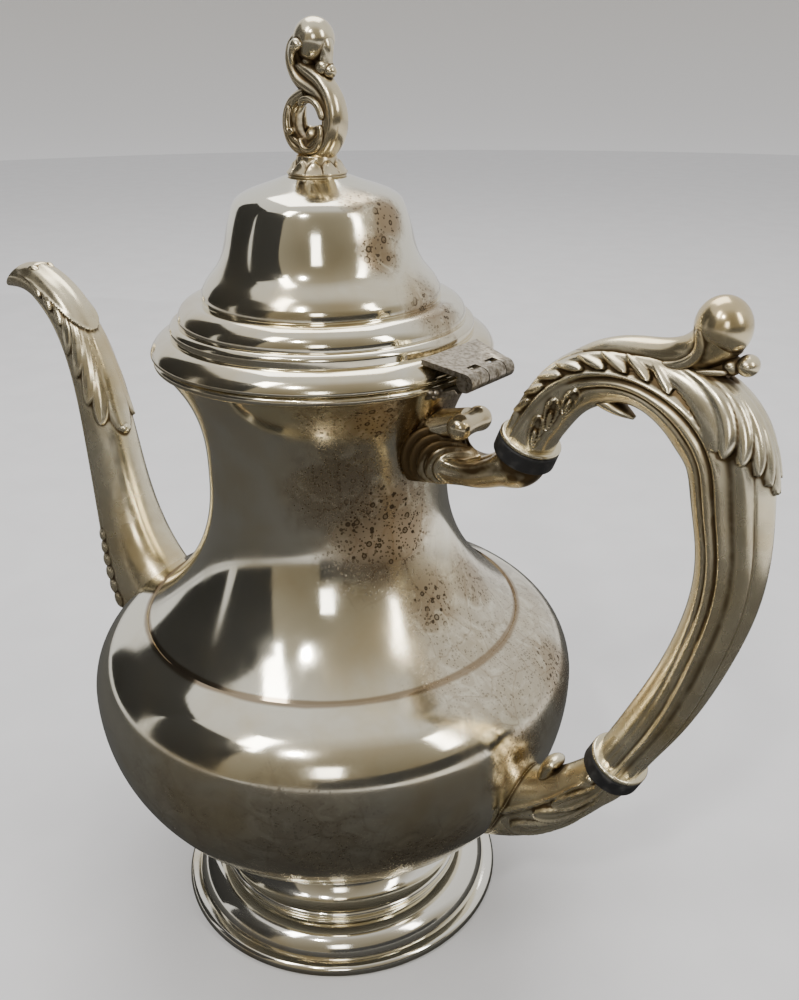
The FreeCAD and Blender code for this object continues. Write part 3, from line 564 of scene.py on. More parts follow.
class Casting:
    """A cast arm of oval sections along a curve in the handle's plane, with a carved skin."""

    dense: Point = (0.0, 0.0)  # share of the rows, and the length from the start that takes them

    def __init__(self, stations: Line, girth: float = 7.0) -> None:
        """Keep the line of stations.

        Args:
            stations: x, z, half depth in the plane and half width across it.
            girth: Mean radius, which turns degrees into millimetres round the skin.
        """
        self.rows = np.array(stations, dtype=float)
        self.knots = distances(self.rows[:, :2])
        self.length = float(self.knots[-1])
        self.girth = girth

    def skin(self, along: Grid, turn: Grid, height: Grid) -> Grid:
        """Place points on the carved skin.

        Args:
            along: Millimetres along the line.
            turn: Angle round the section in radians, from the side that lies to the right of the line.
            height: Relief above the oval.

        Returns:
            The places.
        """
        thinnest = 0.05
        rows = cubic(self.knots, self.rows, along)
        ahead = cubic(self.knots, self.rows[:, :2], np.minimum(along + TANGENT_STEP, self.length))
        behind = cubic(self.knots, self.rows[:, :2], np.maximum(along - TANGENT_STEP, 0))
        run = ahead - behind
        run /= np.linalg.norm(run, axis=-1, keepdims=True)
        depth, width = np.maximum(rows[..., 2], thinnest), np.maximum(rows[..., 3], thinnest)
        cos, sin = np.cos(turn), np.sin(turn)
        out_x, out_y = cos / depth, sin / width
        norm = np.hypot(out_x, out_y)
        in_plane = depth * cos + height * out_x / norm
        across = width * sin + height * out_y / norm
        x = rows[..., 0] + run[..., 1] * in_plane
        z = rows[..., 1] - run[..., 0] * in_plane
        return np.stack([x, across, z], axis=-1)

    def carve(self, along: Grid, around: Grid) -> Grid:
        """Give the relief of a plain casting, which is none."""
        return np.zeros_like(along)

    def follow(self, along: Grid, turn: Grid) -> Grid:
        """Give the angle of each column of points, which runs straight on a plain casting."""
        return turn

    def stain(self, places: Grid, along: Grid) -> Grid:
        """Give extra patina, which a plain casting has none of."""
        return np.zeros_like(along)

    def piece(self, name: str, rows: int, columns: int) -> Piece:
        """Make the casting.

        Args:
            name: Name of the piece.
            rows: Steps along it.
            columns: Steps round it.

        Returns:
            The closed piece.
        """
        def shape(share_along: Grid, share_round: Grid) -> tuple[Grid, Grid]:
            """Place the carved skin and darken its recesses with tarnish and painted shade.

            Args:
                share_along: Share of the length at each point.
                share_round: Share of the turn at each point.

            Returns:
                The places and the patina, with painted shade in the recesses.
            """
            along = np.interp(share_along, (0, self.dense[0], 1), (0, self.dense[1], self.length))
            turn = self.follow(along, share_round * math.tau)
            around = np.abs(np.degrees(np.where(turn > math.pi, turn - math.tau, turn)))
            height = self.carve(along, around)
            places = self.skin(along, turn, height)
            # the carving's recesses are darkened as tarnish and painted shade, and the solder line as a real
            # stain
            return places, np.clip(recess(height) + self.stain(places, along), 0, 1)

        return Bench.rolled(name, rows, columns, shape)


def strand(name: str, stations: Rows, rows: int = 60, columns: int = 32) -> Piece:
    """Make a plain round strand through (x, z, radius)."""
    return Casting([(x, z, radius, radius) for x, z, radius in stations]).piece(name, rows, columns)


def vine(name: str, stations: Line, rows: int = 70, columns: int = 20) -> list[Piece]:
    """Make a thin strand through (x, y, z, radius) and its mirror image on the other flank.

    Args:
        name: Name of the pieces.
        stations: Points of the strand on the flank that y is given for.
        rows: Steps along it.
        columns: Steps round it.

    Returns:
        The two strands.
    """
    line = np.array(stations, dtype=float)
    knots = distances(line[:, :3])
    squareness = 14  # how late the strand's ends round off
    made = []
    for side in (1.0, -1.0):
        flank = line * (1.0, side, 1.0, 1.0)

        def shape(share_along: Grid, share_round: Grid) -> tuple[Grid, Grid]:
            """Place round sections along the strand, square to it.

            Args:
                share_along: Share of the length at each point.
                share_round: Share of the turn at each point.

            Returns:
                The places, and the patina and painted shade, which are none here.
            """
            along = share_along * knots[-1]
            centre = cubic(knots, flank, along)
            run = cubic(knots, flank[:, :3], np.minimum(along + TANGENT_STEP, knots[-1]))
            run = run - cubic(knots, flank[:, :3], np.maximum(along - TANGENT_STEP, 0))
            first = np.cross(run, (0.0, 1.0, 0.0))
            first /= np.linalg.norm(first, axis=-1, keepdims=True)
            second = np.cross(first, run)
            second /= np.linalg.norm(second, axis=-1, keepdims=True)
            turn = (share_round * math.tau)[..., None]
            ends = np.sqrt(np.clip(1 - (2 * share_along - 1) ** squareness, 0, 1))
            radius = (centre[..., 3] * ends)[..., None]
            places = centre[..., :3] + radius * (first * np.cos(turn) + second * np.sin(turn))
            return places, np.zeros_like(along)

        made.append(Bench.rolled(name, rows, columns, shape))
    return made


@dataclass
class Foot:
    """The spun foot, its rim wire and the bead ring under the belly."""

    outer_r: float = 54.0
    rim_width: float = 4.5
    rim_height: float = 4.0
    ovolo_inset: float = 3.6
    ovolo_width: float = 9.5
    ovolo_height: float = 7.3
    bead_height: float = 2.2
    cove_width: float = 7.5
    cove_height: float = 6.1
    collar_width: float = 1.6
    collar_height: float = 2.2
    collar_lap: float = 0.2  # how far the bead ring reaches into the stem
    wall: float = 1.2
    stem_rise: float = 3.6  # how far the stem runs up beside the belly

    def skin(self, inset: float) -> list[Point]:
        """Give the foot's outline from the rim up to the stem, moved in and down by the inset.

        Args:
            inset: How far the outline lies inside the skin.

        Returns:
            Radius and height of each point.
        """
        bead_round = self.bead_height / 2
        low = (self.outer_r - self.ovolo_inset - inset, self.rim_height)
        top = (low[0] - self.ovolo_width, self.rim_height + self.ovolo_height - inset)
        bead_low = (top[0] - bead_round, top[1])
        bead_top = (bead_low[0], top[1] + self.bead_height)
        stem = (top[0] - self.cove_width, bead_top[1] + self.cove_height)
        points = [low] + arc(low, share_point(low, top, 0.28, 0.72), top, 16) + [bead_low]
        points += arc(bead_low, (top[0], top[1] + bead_round), bead_top)
        points += arc(bead_top, share_point(bead_top, stem, 0.68, 0.46), stem, 14)
        return points + [(stem[0], stem[1] + self.stem_rise)]

    def build(self, plate: Material) -> None:
        """Make and seat the foot's three pieces in bright plate.

        Args:
            plate: The foot's material.
        """
        outer = self.skin(0)
        foot = Bench.spun("foot_spun", outer + self.skin(self.wall)[::-1])
        seat(Bench.bevel(foot, 0.12), Body.POT, Slot.PLATE, plate, "foot")
        inner = self.outer_r - self.rim_width
        flat = self.outer_r - self.rim_height / 3
        side = arc((flat, 0), (self.outer_r, self.rim_height / 2), (flat, self.rim_height), 14)
        rim = Bench.spun("foot_rim_wire", [(inner, self.rim_height), (inner, 0), (flat, 0)] + side)
        seat(Bench.bevel(rim, 0.25), Body.POT, Slot.PLATE, plate, "foot_rim")
        r, z = outer[-2]
        low, high = (r - self.collar_lap, z), (r - self.collar_lap, z + self.collar_height)
        ring = [low] + arc(low, (r + self.collar_width, z + self.collar_height / 2), high, 12)
        collar = Bench.spun("foot_collar_bead", ring)
        seat(collar, Body.POT, Slot.PLATE, plate, "foot_collar")


@dataclass
class PotBody:
    """The spun belly and neck, and the wire round the mouth."""

    radius: float = 75.8
    base_z: float = 22.0
    depth: float = 63.0
    power: float = 2.1
    shoulder_round: float = 21.0
    shoulder_rise: float = 21.6
    crease_r: float = 58.3
    crease_step: float = 0.5
    waist_r: float = 35.6
    neck_lower: float = 47.4
    neck_upper: float = 32.6
    flare_power: float = 2.55
    mouth_r: float = 46.6
    rim_overhang: float = 1.4
    rim_height: float = 2.4
    wall: float = 1.2

    @property
    def widest_z(self) -> float:
        """Level of the belly's widest ring."""
        return self.base_z + self.depth

    @property
    def waist_z(self) -> float:
        """Level of the neck's narrowest ring."""
        return self.widest_z + self.shoulder_rise + self.neck_lower

    @property
    def lip_z(self) -> float:
        """Level of the neck's upper edge."""
        return self.waist_z + self.neck_upper

    def shoulder_turn(self) -> float:
        """Give the angle at which the shoulder's round meets its straight slope.

        Returns:
            Radians above the widest ring.
        """
        across = self.crease_r - self.radius + self.shoulder_round
        reach = math.hypot(across, self.shoulder_rise)
        return math.atan2(self.shoulder_rise, across) - math.acos(self.shoulder_round / reach)

    def crease(self, inset: float) -> Point:
        """Give the joint of belly and neck, below the shoulder's skin by the inset.

        Args:
            inset: How far below the skin.

        Returns:
            Radius and height.
        """
        turn = self.shoulder_turn()
        z = self.widest_z + self.shoulder_rise
        return self.crease_r - inset * math.cos(turn), z - inset * math.sin(turn)

    def belly(self, inset: float) -> list[Point]:
        """Give the belly's outline from its lowest point to the crease.

        Args:
            inset: How far the outline lies inside the skin.

        Returns:
            Radius and height of each point.
        """
        points = []
        belly_steps, shoulder_steps, slope_steps = 48, 14, 6
        for k in range(belly_steps + 1):
            angle = math.radians(90 * k / belly_steps)
            r = (self.radius - inset) * math.sin(angle) ** (2 / self.power)
            drop = (self.depth - inset) * max(math.cos(angle), 0) ** (2 / self.power)
            points.append((r, self.widest_z - drop))
        centre_r = self.radius - self.shoulder_round
        for k in range(1, shoulder_steps + 1):
            angle = self.shoulder_turn() * k / shoulder_steps
            r = self.shoulder_round - inset
            points.append((centre_r + r * math.cos(angle), self.widest_z + r * math.sin(angle)))
        end = self.crease(inset)
        last = points[-1]
        shares = [k / slope_steps for k in range(1, slope_steps + 1)]
        return points + [share_point(last, end, share, share) for share in shares]

    def neck(self, inset: float) -> list[Point]:
        """Give the neck's outline from the crease to the lip.

        Args:
            inset: How far the outline lies inside the skin.

        Returns:
            Radius and height of each point.
        """
        foot_r, foot_z = self.crease(self.crease_step)
        lower = (self.waist_z - foot_z, foot_r, 30)
        upper = (self.neck_upper, self.mouth_r, 24)
        points = []
        for k in range(-lower[2], upper[2] + 1):
            rise, end_r, count = lower if k < 0 else upper
            share = abs(k) / count
            spread = end_r - self.waist_r
            steep = self.flare_power * spread / rise * share ** (self.flare_power - 1)
            r = self.waist_r + spread * share ** self.flare_power
            z = self.waist_z + math.copysign(share * rise, k)
            slope = math.hypot(1, steep)
            points.append((r - inset / slope, z - math.copysign(inset * steep / slope, -k)))
        points[-1] = (points[-1][0], self.lip_z)
        return points

    def skin_r(self, z: Grid) -> Grid:
        """Give the body's outer radius at each level."""
        points = np.array(self.belly(0) + self.neck(0))
        return np.interp(z, points[:, 1], points[:, 0])

    def core(self) -> Piece:
        """Make the body as one solid, which fits cast pieces to its skin."""
        outline = self.belly(0) + self.neck(0) + [(0, self.lip_z)]
        return Bench.spun("body_core", outline)

    def build(self, plate: Material, bore: Piece) -> None:
        """Make and seat the belly, the neck and the mouth's rim.

        Args:
            plate: The plate's material.
            bore: Cutter of the spout's way through the belly, which is deleted.
        """
        belly = Bench.spun("belly_spun", self.belly(0) + self.belly(self.wall)[::-1])
        seat(Bench.close(Bench.cut(belly, bore)), Body.POT, Slot.PLATE, plate, "belly_shell")
        neck = Bench.spun("neck_spun", self.neck(0) + self.neck(self.wall)[::-1])
        seat(neck, Body.POT, Slot.PLATE, plate, "neck_shell")
        inner = self.neck(self.wall)[-1][0]
        outer = self.mouth_r + self.rim_overhang
        flat = outer - self.rim_height / 3
        top = self.lip_z + self.rim_height
        side = arc((flat, self.lip_z), (outer, self.lip_z + self.rim_height / 2), (flat, top))
        rim = Bench.spun("mouth_rim_wire", [(inner, top), (inner, self.lip_z), (flat, self.lip_z)] + side)
        seat(Bench.bevel(rim, 0.15), Body.POT, Slot.PLATE, plate, "mouth_rim")


@dataclass
class Lid:
    """The spun lid and the bezel under it."""

    underside_z: float = 189.3
    outer_r: float = 48.6
    edge: float = 0.9
    flange_width: float = 5.1
    flange_height: float = 5.7
    band_step: float = 0.6
    band_height: float = 3.4
    ovolo_step: float = 2.4
    ovolo_side: float = 1.12
    ovolo_width: float = 5.5
    ovolo_height: float = 5.6
    crown_step: float = 1.6
    crown_foot: float = 2.4
    crown_draw: float = 9.5
    crown_height: float = 29.8
    flat_r: float = 8.8
    hole_r: float = 1.65
    wall: float = 1.2
    bezel_depth: float = 5.4
    bezel_r: Point = (42.2, 44.4)  # its outer radius at its lower edge and at the lid
    bell: Sequence[Point] = ((1.0, 0.0), (0.84, 0.09), (0.52, 0.215), (0.3, 0.36), (0.17, 0.53), (0.0, 0.715))
    cap: Sequence[Point] = ((0.95, 0.8), (0.83, 0.868), (0.58, 0.94))

    @property
    def band_z(self) -> float:
        """Level of the flange's top."""
        return self.underside_z + self.flange_height

    @property
    def top_z(self) -> float:
        """Level of the flat on the crown."""
        rise = self.band_height + self.ovolo_height + self.crown_foot + self.crown_height
        return self.band_z + rise

    def flange(self) -> list[Point]:
        """Give the flange's outline from the seat inside, round the edge, to the band.

        Returns:
            Radius and height of each point.
        """
        r, z = self.outer_r, self.underside_z
        corner = self.edge * (1 - math.sqrt(0.5))
        low, side = (r - self.edge, z), (r, z + self.edge)
        top = (r - self.flange_width, self.band_z)
        points = [low] + arc(low, (r - corner, z + corner), side, 5)
        return points + arc(side, share_point(side, top, 0.32, 0.62), top, 16)

    def steps(self, inset: float) -> list[Point]:
        """Give the outline from the band to the flat on the crown, moved in and down by the inset.

        Args:
            inset: How far the outline lies inside the skin.

        Returns:
            Radius and height of each point.
        """
        z = self.band_z - inset
        r = self.outer_r - self.flange_width - self.band_step - inset
        round_r = self.band_height / 2
        corner = round_r * math.sqrt(0.5)
        band_top = (r - round_r, z + self.band_height)
        points = [(r, z), (r, z + round_r)]
        points += arc(points[-1], (band_top[0] + corner, z + round_r + corner), band_top, 8)
        r -= self.ovolo_step
        z += self.band_height
        side, top = (r, z + self.ovolo_side), (r - self.ovolo_width, z + self.ovolo_height)
        points += [(r, z), side] + arc(side, share_point(side, top, 0.28, 0.66), top, 14)
        r = top[0] - self.crown_step
        z = top[1]
        points.append((r, z))
        z += self.crown_foot
        shoulder = r - self.crown_draw
        rows = [(shoulder + self.crown_draw * out, z + self.crown_height * up) for out, up in self.bell]
        rows += [((shoulder + inset) * out - inset, z + self.crown_height * up) for out, up in self.cap]
        rows.append((self.flat_r - inset, z + self.crown_height))
        rows = np.array(rows)
        knots = distances(rows)
        crown_points = 48
        return points + [tuple(row) for row in cubic(knots, rows, np.linspace(0, knots[-1], crown_points))]

    def build(self, plate: Material) -> None:
        """Make and seat the lid and its bezel.

        Args:
            plate: The lid's material.
        """
        inner = self.steps(self.wall)
        outline = self.flange() + self.steps(0)
        outline += [(self.hole_r, self.top_z), (self.hole_r, self.top_z - self.wall)]
        outline += inner[::-1] + [(inner[0][0], self.underside_z)]
        dome = Bench.spun("lid_spun", outline)
        seat(Bench.bevel(dome, 0.12), Body.LID, Slot.PLATE, plate, "lid_dome")
        low, high = self.bezel_r
        bottom = self.underside_z - self.bezel_depth
        ring = [(low, bottom), (high, self.underside_z)]
        ring += [(high - self.wall, self.underside_z), (low - self.wall, bottom)]
        bezel = Bench.spun("lid_bezel_ring", ring)
        seat(Bench.bevel(bezel, 0.2), Body.LID, Slot.PLATE, plate, "lid_bezel")


class SpoutCasting(Casting):
    """The spout's outer skin with its leaves, strap and root studs."""

    lens_middle = 157.0  # the smooth leaf at the tip
    lens_reach = 24.5
    lens_turn = 74.0
    lens_height = 1.15
    lens_edge = 5.0  # degrees over which its edge rises
    lens_rim: Ridge = (5.0, 0.25, 4.0)  # bead inside its edge, its height as a share of the leaf's
    lens_ripple = (0.12, 9.0)  # share and quickness of the hollows across it
    leaf_fall: Point = (160.0, 169.0)
    strap_rise: Point = (32.0, 48.0)
    strap_fall: Point = (150.0, 165.0)
    strap_ridges: Sequence[Ridge] = ((119.0, 0.55, 4.5), (110.0, -0.4, 4.0))
    strap_height = 0.25
    strap_edge: Point = (122.0, 140.0)
    seam_rise: Point = (70.0, 80.0)
    seam_fall: Point = (90.0, 96.0)
    seam_groove: Ridge = (0.0, -0.35, 3.0)
    gadroons = (  # the short lobes that scallop the smooth leaf's edge
        Lobe((160.0, 58.0), (151.5, 84.0), 2.9, 1.6, 0.4),
        Lobe((153.5, 56.0), (145.0, 82.0), 2.9, 1.6, 0.4),
        Lobe((147.0, 52.0), (138.5, 75.0), 2.8, 1.5, 0.4),
    )
    root_lumps = (
        (61.0, 117.0, 2.3, 1.2), (56.5, 118.0, 2.4, 1.3), (52.0, 119.0, 2.5, 1.4), (47.5, 120.0, 2.6, 1.5),
        (43.0, 122.0, 2.6, 1.5), (38.5, 124.0, 2.7, 1.5))
    tip_bead = (99.6, 0.0, 1.8, 2.3)
    plume = (
        Lobe((140.0, 0.0), (98.0, 0.0), 6.2, 1.6, 0.0, 0.25),
        Lobe((138.0, 10.0), (102.4, 51.0), 4.0, 1.5, -0.4, 0.0, 0.35),
        Lobe((139.0, 24.0), (110.0, 73.0), 3.8, 1.45, -0.9, 0.0, 0.35),
        Lobe((141.0, 38.0), (120.0, 89.0), 3.4, 1.4, -1.2, 0.0, 0.35),
        Lobe((143.0, 52.0), (128.6, 103.0), 3.0, 1.3, -1.0, 0.0, 0.3),
    )

    def carve(self, along: Grid, around: Grid) -> Grid:
        """Give the relief of the two leaves, the strap underneath and the studs.

        Args:
            along: Millimetres along the casting.
            around: Degrees from the inner side.

        Returns:
            The relief in millimetres.
        """
        reach = np.clip(1 - ((along - self.lens_middle) / self.lens_reach) ** 2, 0, 1)
        edge = self.lens_turn * np.sqrt(reach)
        rim = ridges(edge - around, (self.lens_rim,))
        deep, quick = self.lens_ripple
        lens = smooth_step(edge - around, 0.0, self.lens_edge)
        lens *= 1.0 + rim + deep * np.cos(np.radians(around * quick))
        tip = 1 - smooth_step(along, *self.leaf_fall)
        carved = raised(self.plume + self.gadroons, along, around, self.girth)
        leaves = np.maximum(self.lens_height * lens, carved) * tip
        held = window(along, self.strap_rise, self.strap_fall)
        strap = held * ridges(around, self.strap_ridges)
        strap += held * self.strap_height * smooth_step(around, *self.strap_edge)
        seam = ridges(around, (self.seam_groove,)) * window(along, self.seam_rise, self.seam_fall)
        small = studs((*self.root_lumps, self.tip_bead), along, around, self.girth)
        return np.maximum(np.where(leaves > LEAF_EDGE, leaves, strap + seam), small)


@dataclass
class Spout:
    """The hollow cast spout on the belly."""

    body: PotBody
    rise: float = 105.5
    wall: float = 1.6
    lip: Point = (81.55, 0.966)
    brow: Point = (70.6, 1.049)
    curl: tuple[float, float, float] = (62.5, 1.042, 2.1)
    curl_roll: Line = (  # x, y, z and radius of the small scroll beside the curl
        (4.0, -2.6, -1.4, 0.9), (0.0, -3.4, 0.1, 1.4), (-2.4, -3.4, -1.4, 1.1))
    line: Line = (
        (-17.0, -0.190, 22.0, 14.0),
        (4.5, -0.130, 20.5, 14.5),
        (18.0, -0.005, 17.0, 13.6),
        (25.3, 0.155, 12.8, 11.6),
        (29.6, 0.332, 10.5, 9.9),
        (32.7, 0.521, 9.2, 9.0),
        (37.2, 0.711, 8.2, 7.9),
        (45.6, 0.877, 7.3, 7.0),
        (57.5, 0.972, 6.2, 6.3),
        (68.6, 1.003, 5.3, 5.8),
        (84.2, 0.981, 2.8, 3.6),
    )

    def point(self, reach: float, share: float) -> Point:
        """Place a point of the spout's plane from the belly."""
        return -(self.body.radius + reach), self.body.widest_z + self.rise * share

    def stations(self, inset: float) -> list[Station]:
        """Give the spout's ovals, made smaller by the inset."""
        return [(*self.point(reach, share), depth - inset, width - inset)
                for reach, share, depth, width in self.line]

    def bore(self) -> Piece:
        """Make the cutter of the spout's bore."""
        return Casting(self.stations(self.wall)).piece("spout_bore", 90, 48)

    def build(self, cast: Material) -> None:
        """Make and seat the spout.

        Args:
            cast: The spout's material.
        """
        skin = SpoutCasting(self.stations(0), girth=8.0).piece("spout_cast", 420, 144)
        for cutter in (self.mouth_cutter, self.body.core, self.bore):
            skin = Bench.cut(skin, cutter())
        x, z = self.point(*self.curl[:2])
        radius = self.curl[2]
        roll = [(x + over, y, z + up, thick) for over, y, up, thick in self.curl_roll]
        parts = [Bench.close(skin, CARVED_ANGLE), Bench.ball("spout_curl", (x, 0, z), radius, 2.0)]
        spout = Bench.join("spout_cast", parts + vine("spout_roll", roll))
        seat(Bench.dirt_and_painted_shade(spout), Body.POT, Slot.CAST, cast, "spout")

    def mouth_cutter(self) -> Piece:
        """Make the block whose face is the beak's slanting mouth.

        Returns:
            The block.
        """
        lip, brow = Vector((*self.point(*self.lip), 0)), Vector((*self.point(*self.brow), 0))
        along = (lip - brow).normalized()
        middle = (lip + brow) / 2
        size = 60.0
        Bench.clear()
        bpy.ops.mesh.primitive_cube_add(size=size * MM)
        block = bpy.context.object
        away = Vector((along.y, -along.x))
        centre = (middle.x + away.x * size / 2, 0, middle.y + away.y * size / 2)
        return Bench.place(block, centre, -math.degrees(math.atan2(along.y, along.x)))


class HandleCasting(Casting):
    """The fluted grip with its leaves."""

    rib_places = (0.0, 23.0, 37.0, 53.0, 73.0, 90.0, 117.0, 144.0, 162.0)
    rib_angles = (113.0, 104.0, 99.0, 93.0, 86.0, 88.0, 93.0, 104.0, 106.0)
    mouldings = (  # degrees from the main rib, height, width
        (-30.0, -0.8, 4.0), (-19.0, 0.3, 5.0), (-9.5, -0.9, 5.0), (0.0, 0.4, 5.0), (17.0, -0.75, 9.0),
        (36.0, 0.35, 8.0), (50.0, -0.25, 2.5))
    inner_side = -5.0  # mouldings below this angle lie on the inner side
    inner_rise: Point = (20.0, 27.0)
    inner_loss = 0.85  # share of the inner mouldings that the lower part lacks
    lower_rise: Point = (92.0, 120.0)
    crest: Ridge = (0.0, 0.5, 4.0)  # sharper line on the main rib, which the fan interrupts
    crest_fall: Point = (55.0, 75.0)
    mean_rib = 96.0
    hair = 0.05  # how far the plain skin lies inside the frame's
    dense = (0.7, 80.0)
    husks = (  # root and tip of each bud
        ((0.3, 58.0), (10.4, 80.0)), ((7.6, 54.0), (17.4, 79.0)), ((14.6, 48.0), (24.4, 74.0)))
    husk_core = 0.62  # share of a bud's length that its core takes
    leaf_places = (8.0, 13.2, 18.4, 23.6, 28.8, 34.0, 39.2, 44.4)
    leaf_root: Point = (-3.4, 46.0)  # each twisted leaf from its place and the main rib
    leaf_tip: Point = (3.2, 9.0)
    fan = (
        Lobe((36.0, 137.0), (62.5, 98.0), 3.6, 1.4, -1.5, 0.0, 0.2),
        Lobe((43.0, 147.0), (64.2, 104.0), 2.7, 2.0, -1.6),
        Lobe((47.0, 155.0), (66.4, 122.0), 2.4, 1.7, -1.4),
        Lobe((49.0, 162.0), (68.7, 140.0), 2.4, 1.5, -1.1),
        Lobe((51.0, 169.0), (71.0, 158.0), 2.4, 1.3, -0.8),
        Lobe((53.0, 176.0), (73.3, 176.0), 2.4, 1.1, -0.5),
    )

    def rib(self, along: Grid) -> Grid:
        """Give the main rib's angle at each place."""
        return cubic(np.array(self.rib_places), np.array(self.rib_angles)[:, None], along)[..., 0]

    def follow(self, along: Grid, turn: Grid) -> Grid:
        """Lean the columns of points over, so that they run along the main rib."""
        return turn + np.radians(self.rib(along) - self.mean_rib) * np.sin(turn)

    def leaves(self) -> list[Lobe]:
        """Give the twisted leaves of the upper bend, the buds on its inner side and the fan behind it.

        Returns:
            All lobes of one flank.
        """
        found = list(self.fan)
        for place in self.leaf_places:
            end = place + self.leaf_tip[0]
            rib = float(self.rib(np.array(end)))
            root, tip = (place + self.leaf_root[0], rib + self.leaf_root[1]), (end, rib + self.leaf_tip[1])
            found.append(Lobe(root, tip, width=2.3, height=1.15, bend=0.2, blunt=1.5, tilt=0.6))
        for root, tip in self.husks:
            core = share_point(root, tip, self.husk_core, self.husk_core)
            found.append(Lobe(root, tip, width=2.5, height=2.1, scoop=1.9))
            found.append(Lobe(root, core, width=0.9, height=1.5))
        return found

    def carve(self, along: Grid, around: Grid) -> Grid:
        """Give the mouldings along the whole grip and the leaves on its upper part.

        Args:
            along: Millimetres along the casting.
            around: Degrees from the inner side.

        Returns:
            The relief in millimetres.
        """
        from_rib = around - self.rib(along)
        low_part = smooth_step(along, *self.lower_rise)
        inner = smooth_step(along, *self.inner_rise) * (1 - self.inner_loss * low_part)
        crest = 1 - smooth_step(along, *self.crest_fall) + low_part
        plain = ridges(from_rib, (self.crest,)) * crest - self.hair
        for moulding in self.mouldings:
            plain += (inner if moulding[0] < self.inner_side else 1.0) * ridges(from_rib, (moulding,))
        return overlaid(raised(self.leaves(), along, around, self.girth), plain)


